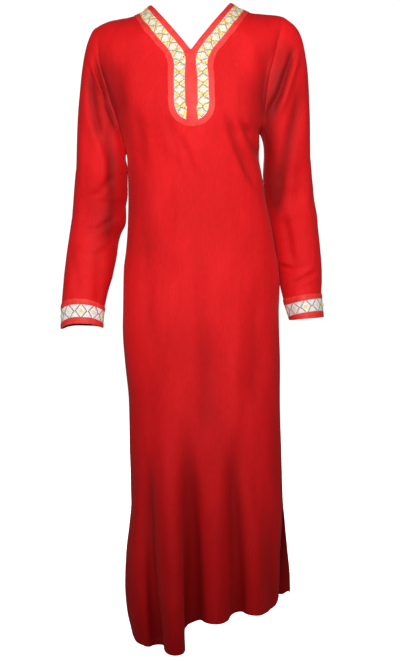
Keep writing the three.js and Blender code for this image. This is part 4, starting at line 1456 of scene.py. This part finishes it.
def sewing(name, lines):
    """Stitches laid end to end along lines of points that lie on the cloth."""
    points = []
    faces = []
    for line, normals in lines:
        lengths = lengths_along(line)[1]
        for middle in np.arange(PITCH, lengths[-1] - PITCH / 2, PITCH):
            ends = [middle - STITCH_LONG / 2, middle + STITCH_LONG / 2]
            at = [np.array([np.interp(end, lengths, line[:, k]) for k in range(3)])
                  for end in ends]
            up = unit(np.array([np.interp(middle, lengths, normals[:, k]) for k in range(3)]))
            way = unit(at[1] - at[0])
            sideways = np.cross(up, way)
            start = len(points)
            for share, body, rise in STITCH_SECTIONS:
                here = mix(at[0], at[1], share)
                points += [here + sideways * body / 2 - up * STITCH_SINK, here + up * rise,
                           here - sideways * body / 2 - up * STITCH_SINK]
            for k in range(3):
                a = start + 3 * k
                faces += [[a, a + 1, a + 4, a + 3], [a + 1, a + 2, a + 5, a + 4],
                          [a + 2, a, a + 3, a + 5]]
            faces += [[start, start + 2, start + 1], [start + 9, start + 10, start + 11]]
    made = fresh_object(name, np.array(points), faces)
    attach(made, "root")
    return made


def column_lines(grids, columns, flip):
    """Lines up a strip's columns, with the strip's normals."""
    normals = grid_normals(grids, flip)
    return [(grids[:, column], normals[:, column]) for column in columns]


def row_lines(rings, rows, flip):
    normals = grid_normals(rings, flip)
    return [(rings[row], normals[row]) for row in rows]


HEM_ROW = 3
EDGE_COLUMN = 2
thread = {}
band_lines = []
edge_lines = []
for side_name in SIDES_OF_BODY:
    flip = side_name == "left"
    band_lines += column_lines(LAID["band_" + side_name], [1, TRIM_FINE - 1], flip)
    edge_lines += column_lines(LAID["binding_" + side_name], [1], flip)
    cuff_lines = []
    for strip_name in ["upper_band", "lower_band"]:
        rings = LAID["cuff_" + strip_name + "_" + side_name]
        cuff_lines += row_lines(rings, [1, CUFF_FINE - 1], side_name == "right")
    thread["cuff_" + side_name] = sewing("cuff_stitches_" + side_name, cuff_lines)
thread["band"] = sewing("neck_band_stitches", band_lines)
thread["edge"] = sewing("neck_edge_stitches", edge_lines)
for face_name in FACES:
    rows, flip = GRIDS[face_name][0]
    slit = SLIT_ROWS * FINE_SKIRT
    near = rows[HEM_ROW - 1:HEM_ROW + 2]
    laid, normals = lift(face_name, near, flip, np.zeros(near.shape[:2]))
    hem_lines = [(laid[1], normals[1])]
    for column in [EDGE_COLUMN, rows.shape[1] - 1 - EDGE_COLUMN]:
        near = rows[HEM_ROW:slit, column - 1:column + 2]
        laid, normals = lift(face_name, near, flip, np.zeros(near.shape[:2]))
        hem_lines.append((laid[:, 1], normals[:, 1]))
    thread["hem_" + face_name] = sewing("hem_stitches_" + face_name, hem_lines)


# Node helpers
def feed(tree, value, socket):
    if isinstance(value, bpy.types.NodeSocket):
        tree.links.new(value, socket)
    else:
        socket.default_value = value


def feed_all(tree, node, values):
    for label, value in values.items():
        feed(tree, value, node.inputs[label])


def calc(tree, operation, *values):
    node = tree.nodes.new("ShaderNodeMath")
    node.operation = operation
    for value, socket in zip(values, node.inputs):
        feed(tree, value, socket)
    return node.outputs[0]


def times(tree, one, two):
    return calc(tree, "MULTIPLY", one, two)


def plus(tree, one, two):
    return calc(tree, "ADD", one, two)


def minus(tree, one, two):
    return calc(tree, "SUBTRACT", one, two)


def scaled(tree, value, by, base):
    """The value times by, plus base."""
    return calc(tree, "MULTIPLY_ADD", value, by, base)


def blend_colours(tree, share, one, two):
    node = tree.nodes.new("ShaderNodeMix")
    node.data_type = "RGBA"
    for value, index in [(share, 0), (one, 6), (two, 7)]:
        feed(tree, value, node.inputs[index])
    return node.outputs[2]


def stretched(tree, vector, scale):
    node = tree.nodes.new("ShaderNodeMapping")
    feed_all(tree, node, {"Vector": vector, "Scale": scale})
    return node.outputs[0]


def noise_at(tree, vector, scale, detail=2.0):
    node = tree.nodes.new("ShaderNodeTexNoise")
    feed_all(tree, node, {"Vector": vector, "Scale": scale, "Detail": detail})
    return node.outputs[0]


def ramp(tree, value, low, high):
    node = tree.nodes.new("ShaderNodeMapRange")
    node.interpolation_type = "SMOOTHSTEP"
    feed_all(tree, node, {"Value": value, "From Min": low, "From Max": high})
    return node.outputs[0]


def new_group(name, inputs, outputs):
    """A node group with typed inputs, and outputs that each give one number."""
    tree = bpy.data.node_groups.new(name, "ShaderNodeTree")
    for kind, label in inputs:
        tree.interface.new_socket(label, in_out="INPUT", socket_type="NodeSocket" + kind)
    for label in outputs:
        tree.interface.new_socket(label, in_out="OUTPUT", socket_type="NodeSocketFloat")
    start = tree.nodes.new("NodeGroupInput")
    end = tree.nodes.new("NodeGroupOutput")
    return tree, start.outputs, end


def use_group(tree, group, values):
    node = tree.nodes.new("ShaderNodeGroup")
    node.node_tree = group
    feed_all(tree, node, values)
    return node.outputs


def crepe_group():
    """Fine crinkled threads: a height for the bump and two masks for the colour."""
    tree, given, end = new_group("crepe_threads", [("Vector", "Place"), ("Float", "Thread")],
                                 ["Height", "Shade", "Worn"])
    place = given["Place"]
    crinkles = noise_at(tree, stretched(tree, place, (1, 1, 0.16)), 420.0, 3.0)
    grain = noise_at(tree, stretched(tree, place, (1, 1, 0.45)), 1500.0)
    broad = noise_at(tree, stretched(tree, place, (1, 1, 0.4)), 14.0)
    lit = times(tree, ramp(tree, broad, 0.3, 0.7), 0.55)
    feed_all(tree, end, {
        "Height": plus(tree, crinkles, times(tree, grain, given["Thread"])),
        "Shade": scaled(tree, ramp(tree, crinkles, 0.25, 0.75), 0.45, lit),
        "Worn": ramp(tree, broad, 0.45, 0.8),
    })
    return tree


def satin_group():
    """Close threads of a satin tape, with soft creases across it."""
    tree, given, end = new_group("satin_threads", [("Vector", "Place")], ["Height", "Shade"])
    threads = noise_at(tree, given["Place"], 1300.0)
    creases = noise_at(tree, stretched(tree, given["Place"], (1, 1, 0.7)), 110.0)
    shade = scaled(tree, creases, 0.6, times(tree, threads, 0.4))
    feed_all(tree, end, {
        "Height": scaled(tree, creases, 1.6, times(tree, threads, 0.5)),
        "Shade": ramp(tree, shade, 0.35, 0.68),
    })
    return tree


# The ribbon's pattern, in shares of a repeat: a diamond, its dashes and the flower in it
DIAMOND_REACH = 0.44
DASHES = 5.5
PETALS = 5.0
PETAL_DEPTH = 0.035
FLOWER_SIZE = 0.165
RIBS = 190.0
CORDS = 170.0


def braid_group():
    """The woven ribbon by its own measure: diamonds in broken outline, with flowers in them."""
    tree, given, end = new_group(
        "braid_pattern",
        [("Vector", "Strip"), ("Vector", "Place"), ("Float", "Every"), ("Float", "Narrow")],
        ["Outline", "Dashes", "Flower", "Heart", "Weave", "Side", "Selvedge"])
    parts = tree.nodes.new("ShaderNodeSeparateXYZ")
    feed(tree, given["Strip"], parts.inputs[0])
    u = parts.outputs["X"]
    v = parts.outputs["Y"]
    cell = minus(tree, calc(tree, "FRACT", u), 0.5)
    rise = minus(tree, v, 0.5)
    along = calc(tree, "ABSOLUTE", cell)
    aside = calc(tree, "ABSOLUTE", rise)
    speckle = noise_at(tree, given["Place"], 260.0, 1.0)
    wobble = times(tree, minus(tree, speckle, 0.5), 0.05)
    reach = plus(tree, plus(tree, along, times(tree, aside, given["Narrow"])), wobble)
    off = calc(tree, "ABSOLUTE", minus(tree, reach, DIAMOND_REACH))
    line = minus(tree, 1.0, ramp(tree, off, 0.045, 0.08))
    dash_run = times(tree, minus(tree, along, aside), DASHES)
    dash_wave = calc(tree, "SINE", times(tree, dash_run, 6.2832))
    half = calc(tree, "FRACT", times(tree, calc(tree, "FLOOR", u), 0.5))
    odd = calc(tree, "GREATER_THAN", plus(tree, half, given["Every"]), 0.25)
    angle = calc(tree, "ARCTAN2", rise, cell)
    petals = calc(tree, "COSINE", times(tree, angle, PETALS))
    distance = calc(tree, "SQRT", plus(tree, times(tree, cell, cell), times(tree, rise, rise)))
    edge = scaled(tree, petals, PETAL_DEPTH, FLOWER_SIZE)
    flower = minus(tree, 1.0, ramp(tree, minus(tree, distance, edge), -0.02, 0.02))
    heart = minus(tree, 1.0, ramp(tree, distance, 0.03, 0.07))
    ribs = calc(tree, "SINE", times(tree, u, RIBS))
    cords = calc(tree, "SINE", times(tree, v, CORDS))
    feed_all(tree, end, {
        "Outline": line,
        "Dashes": times(tree, line, ramp(tree, dash_wave, -0.35, 0.15)),
        "Flower": times(tree, flower, odd),
        "Heart": times(tree, heart, odd),
        "Weave": times(tree, ribs, cords),
        "Side": calc(tree, "GREATER_THAN", cell, 0.0),
        "Selvedge": ramp(tree, aside, 0.44, 0.49),
    })
    return tree


CREPE = crepe_group()
SATIN = satin_group()
BRAID = braid_group()


def new_material(name):
    material = bpy.data.materials.new(name)
    material.use_nodes = True
    tree = material.node_tree
    shader = tree.nodes["Principled BSDF"]
    coords = tree.nodes.new("ShaderNodeTexCoord")
    return material, tree, shader, coords.outputs["Object"]


def bump(tree, shader, height, strength, distance):
    node = tree.nodes.new("ShaderNodeBump")
    feed_all(tree, node, {"Strength": strength, "Distance": distance, "Height": height})
    feed(tree, node.outputs[0], shader.inputs["Normal"])


def red_crepe():
    material, tree, shader, place = new_material("red_crepe")
    threads = use_group(tree, CREPE, {"Place": place, "Thread": 0.5})
    colour = blend_colours(tree, threads["Shade"], (0.60, 0.003, 0.005, 1),
                           (0.80, 0.007, 0.010, 1))
    # Painted shade: the red is darkened towards a deep red where the attribute "deep" says,
    # between folds and in hollows, standing in for shade
    depth = tree.nodes.new("ShaderNodeAttribute")
    depth.attribute_name = "deep"
    colour = blend_colours(tree, times(tree, depth.outputs["Fac"], 0.85), colour,
                           (0.20, 0.0012, 0.002, 1))
    inside = tree.nodes.new("ShaderNodeNewGeometry")
    colour = blend_colours(tree, times(tree, inside.outputs["Backfacing"], 0.4), colour,
                           (0.3, 0.002, 0.004, 1))
    feed_all(tree, shader, {
        "Base Color": colour,
        "Roughness": scaled(tree, threads["Worn"], -0.08, 0.74),
        "Sheen Weight": 0.12,
        "Sheen Roughness": 0.45,
        "Sheen Tint": (1, 0.2, 0.2, 1),
        "Specular IOR Level": 0.2,
    })
    bump(tree, shader, threads["Height"], 0.35, 0.0006)
    return material


def coral_satin():
    material, tree, shader, place = new_material("coral_satin")
    threads = use_group(tree, SATIN, {"Place": place})
    feed_all(tree, shader, {
        "Base Color": blend_colours(tree, threads["Shade"], (0.74, 0.028, 0.024, 1),
                                    (0.90, 0.052, 0.042, 1)),
        "Roughness": scaled(tree, threads["Shade"], 0.12, 0.46),
        "Sheen Weight": 0.08,
        "Sheen Roughness": 0.35,
        "Sheen Tint": (1, 0.4, 0.35, 1),
        "Specular IOR Level": 0.2,
    })
    bump(tree, shader, threads["Height"], 0.3, 0.0005)
    return material


def white_braid(name, every, narrow, dim, bright):
    material, tree, shader, place = new_material(name)
    strip = tree.nodes.new("ShaderNodeUVMap")
    strip.uv_map = "strip"
    braid = use_group(tree, BRAID, {"Strip": strip.outputs[0], "Place": place, "Every": every,
                                    "Narrow": narrow})
    mottle = noise_at(tree, place, 300.0)
    threads = blend_colours(tree, braid["Side"], (0.34, 0.04, 0.025, 1), (0.09, 0.05, 0.04, 1))
    threads = blend_colours(tree, ramp(tree, noise_at(tree, place, 120.0, 1.0), 0.45, 0.6),
                            threads, (0.48, 0.12, 0.08, 1))
    layers = [
        ("Outline", 0.6, (0.55, 0.36, 0.28, 1)),
        ("Dashes", 0.92, threads),
        ("Flower", 0.85, (0.88, 0.82, 0.55, 1)),
        ("Heart", 0.6, (0.80, 0.62, 0.24, 1)),
        ("Selvedge", 0.5, (0.70, 0.62, 0.55, 1)),
    ]
    colour = blend_colours(tree, ramp(tree, mottle, 0.35, 0.6), dim, bright)
    for label, share, paint in layers:
        colour = blend_colours(tree, times(tree, braid[label], share), colour, paint)
    feed_all(tree, shader, {
        "Base Color": colour,
        "Roughness": scaled(tree, braid["Flower"], -0.15, 0.62),
        "Sheen Weight": 0.15,
        "Specular IOR Level": 0.4,
    })
    pattern = plus(tree, times(tree, braid["Dashes"], 0.9), times(tree, braid["Flower"], 1.2))
    bump(tree, shader, plus(tree, times(tree, braid["Weave"], 0.25), pattern), 0.5, 0.0006)
    return material


def golden_stone():
    material, tree, shader, place = new_material("golden_stone")
    glow = ramp(tree, noise_at(tree, place, 160.0), 0.35, 0.65)
    feed_all(tree, shader, {
        "Base Color": blend_colours(tree, glow, (0.80, 0.45, 0.006, 1), (0.97, 0.76, 0.05, 1)),
        "Roughness": scaled(tree, glow, 0.08, 0.4),
        "Metallic": 0.1,
        "Coat Weight": 0.08,
        "Coat Roughness": 0.15,
        "Specular IOR Level": 0.3,
    })
    return material


def sewing_thread(name, light, dark):
    material, tree, shader, place = new_material(name)
    twist = noise_at(tree, place, 2600.0)
    feed_all(tree, shader, {
        "Base Color": blend_colours(tree, twist, dark, light),
        "Roughness": scaled(tree, twist, 0.2, 0.45),
        "Sheen Weight": 0.3,
    })
    bump(tree, shader, twist, 0.3, 0.0002)
    return material


RED = red_crepe()
CORAL = coral_satin()
NECK_BRAID = white_braid("neck_braid", 0.5, 0.72, (0.55, 0.53, 0.40, 1), (0.84, 0.83, 0.72, 1))
CUFF_BRAID = white_braid("cuff_braid", 0.0, 0.74, (0.80, 0.80, 0.76, 1), (0.97, 0.97, 0.94, 1))
GOLD = golden_stone()
RED_THREAD = sewing_thread("red_thread", (0.62, 0.02, 0.022, 1), (0.4, 0.006, 0.01, 1))
CORAL_THREAD = sewing_thread("coral_thread", (0.9, 0.12, 0.11, 1), (0.7, 0.04, 0.04, 1))


def finish_with(made, material):
    made.data.materials.clear()
    made.data.materials.append(material)


for made in cloth.values():
    finish_with(made, RED)
for key, made in neck_trims.items():
    finish_with(made, NECK_BRAID if "ribbon" in key else CORAL)
for (side_name, strip_name), made in cuffs.items():
    finish_with(made, CUFF_BRAID if strip_name == "ribbon" else CORAL)
for made in stones.values():
    finish_with(made, GOLD)
for key, made in thread.items():
    finish_with(made, RED_THREAD if "hem" in key else CORAL_THREAD)


# The room: a pale floor that turns up into a round wall, soft lights and the camera
FLOOR_LEVEL = -1.42
ROOM_SIDES = 48
ROOM_FLAT = 9
ROOM_CURVE = 3
ROOM_HEIGHT = 9.0
ROOM_STEPS = 8


def sweep():
    """A round floor that curves up into a wall on every side of the garment."""
    outline = [(0.5, 0.0), (ROOM_FLAT, 0.0)]
    for step in range(1, ROOM_STEPS + 1):
        turn = step / ROOM_STEPS * math.pi / 2
        outline.append((ROOM_FLAT + ROOM_CURVE * math.sin(turn),
                        ROOM_CURVE - ROOM_CURVE * math.cos(turn)))
    outline.append((ROOM_FLAT + ROOM_CURVE, ROOM_HEIGHT))
    points = [(0, 0, FLOOR_LEVEL)]
    for radius, z in outline:
        for side in range(ROOM_SIDES):
            turn = 2 * math.pi * side / ROOM_SIDES
            points.append((radius * math.cos(turn), radius * math.sin(turn), FLOOR_LEVEL + z))
    faces = [[0, 1 + side, 1 + (side + 1) % ROOM_SIDES] for side in range(ROOM_SIDES)]
    for ring in range(len(outline) - 1):
        low = 1 + ring * ROOM_SIDES
        for side in range(ROOM_SIDES):
            after = (side + 1) % ROOM_SIDES
            faces.append([low + side, low + ROOM_SIDES + side, low + ROOM_SIDES + after,
                          low + after])
    made = fresh_object("pale_sweep", np.array(points) / MM, faces)
    material, tree, shader, place = new_material("pale_paper")
    soft = noise_at(tree, place, 2.0, 2.0)
    feed_all(tree, shader, {
        "Base Color": blend_colours(tree, soft, (0.90, 0.90, 0.90, 1), (0.94, 0.94, 0.94, 1)),
        "Roughness": scaled(tree, soft, 0.05, 0.9),
        "Emission Color": (1, 1, 1, 1),
        "Emission Strength": 1.0,
    })
    made.visible_diffuse = False
    made.visible_glossy = False
    finish_with(made, material)


sweep()


def area_light(name, place, target, wide, tall, power):
    light = bpy.data.lights.new(name, "AREA")
    light.shape = "RECTANGLE"
    light.size = wide
    light.size_y = tall
    light.energy = power
    made = placed(name, light)
    made.location = place
    way = Vector(target) - Vector(place)
    made.rotation_euler = way.to_track_quat("-Z", "Y").to_euler()


key = bpy.data.lights.new("key", "SPOT")
key.energy = 200
key.spot_size = math.radians(62)
key.spot_blend = 1
key.shadow_soft_size = 0.3
key_light = placed("key", key)
key_light.location = (-0.02, -2.2, 0.3)
key_light.rotation_euler = Vector((0.04, 2.2, -0.42)).to_track_quat("-Z", "Y").to_euler()
for side_name, out in OUTWARDS.items():
    area_light(side_name + "_side", (1.15 * out, -0.8, -0.2), (0.2 * out, 0, -0.4), 0.4, 0.6, 3.2)
area_light("behind", (0, 2.6, 0.1), (0, 0, -0.6), 1.6, 1.6, 50)

world = bpy.data.worlds.new("soft_room")
world.use_nodes = True
world.node_tree.nodes["Background"].inputs["Color"].default_value = (1, 1, 1, 1)
world.node_tree.nodes["Background"].inputs["Strength"].default_value = 0.09
bpy.context.scene.world = world
bpy.context.scene.view_settings.view_transform = "Standard"

# The camera looks at the garment from in front, tilted down by a few degrees
CAMERA_DOWN = 6.975
camera_data = bpy.data.cameras.new("camera")
camera_data.sensor_width = 36
camera_data.sensor_fit = "AUTO"
camera_data.lens = 76.56
camera_data.clip_end = 50
camera = placed("camera", camera_data)
camera.location = (0.017, -3.0, -0.3)
camera.rotation_euler = (math.radians(90 - CAMERA_DOWN), 0, 0)
bpy.context.scene.camera = camera
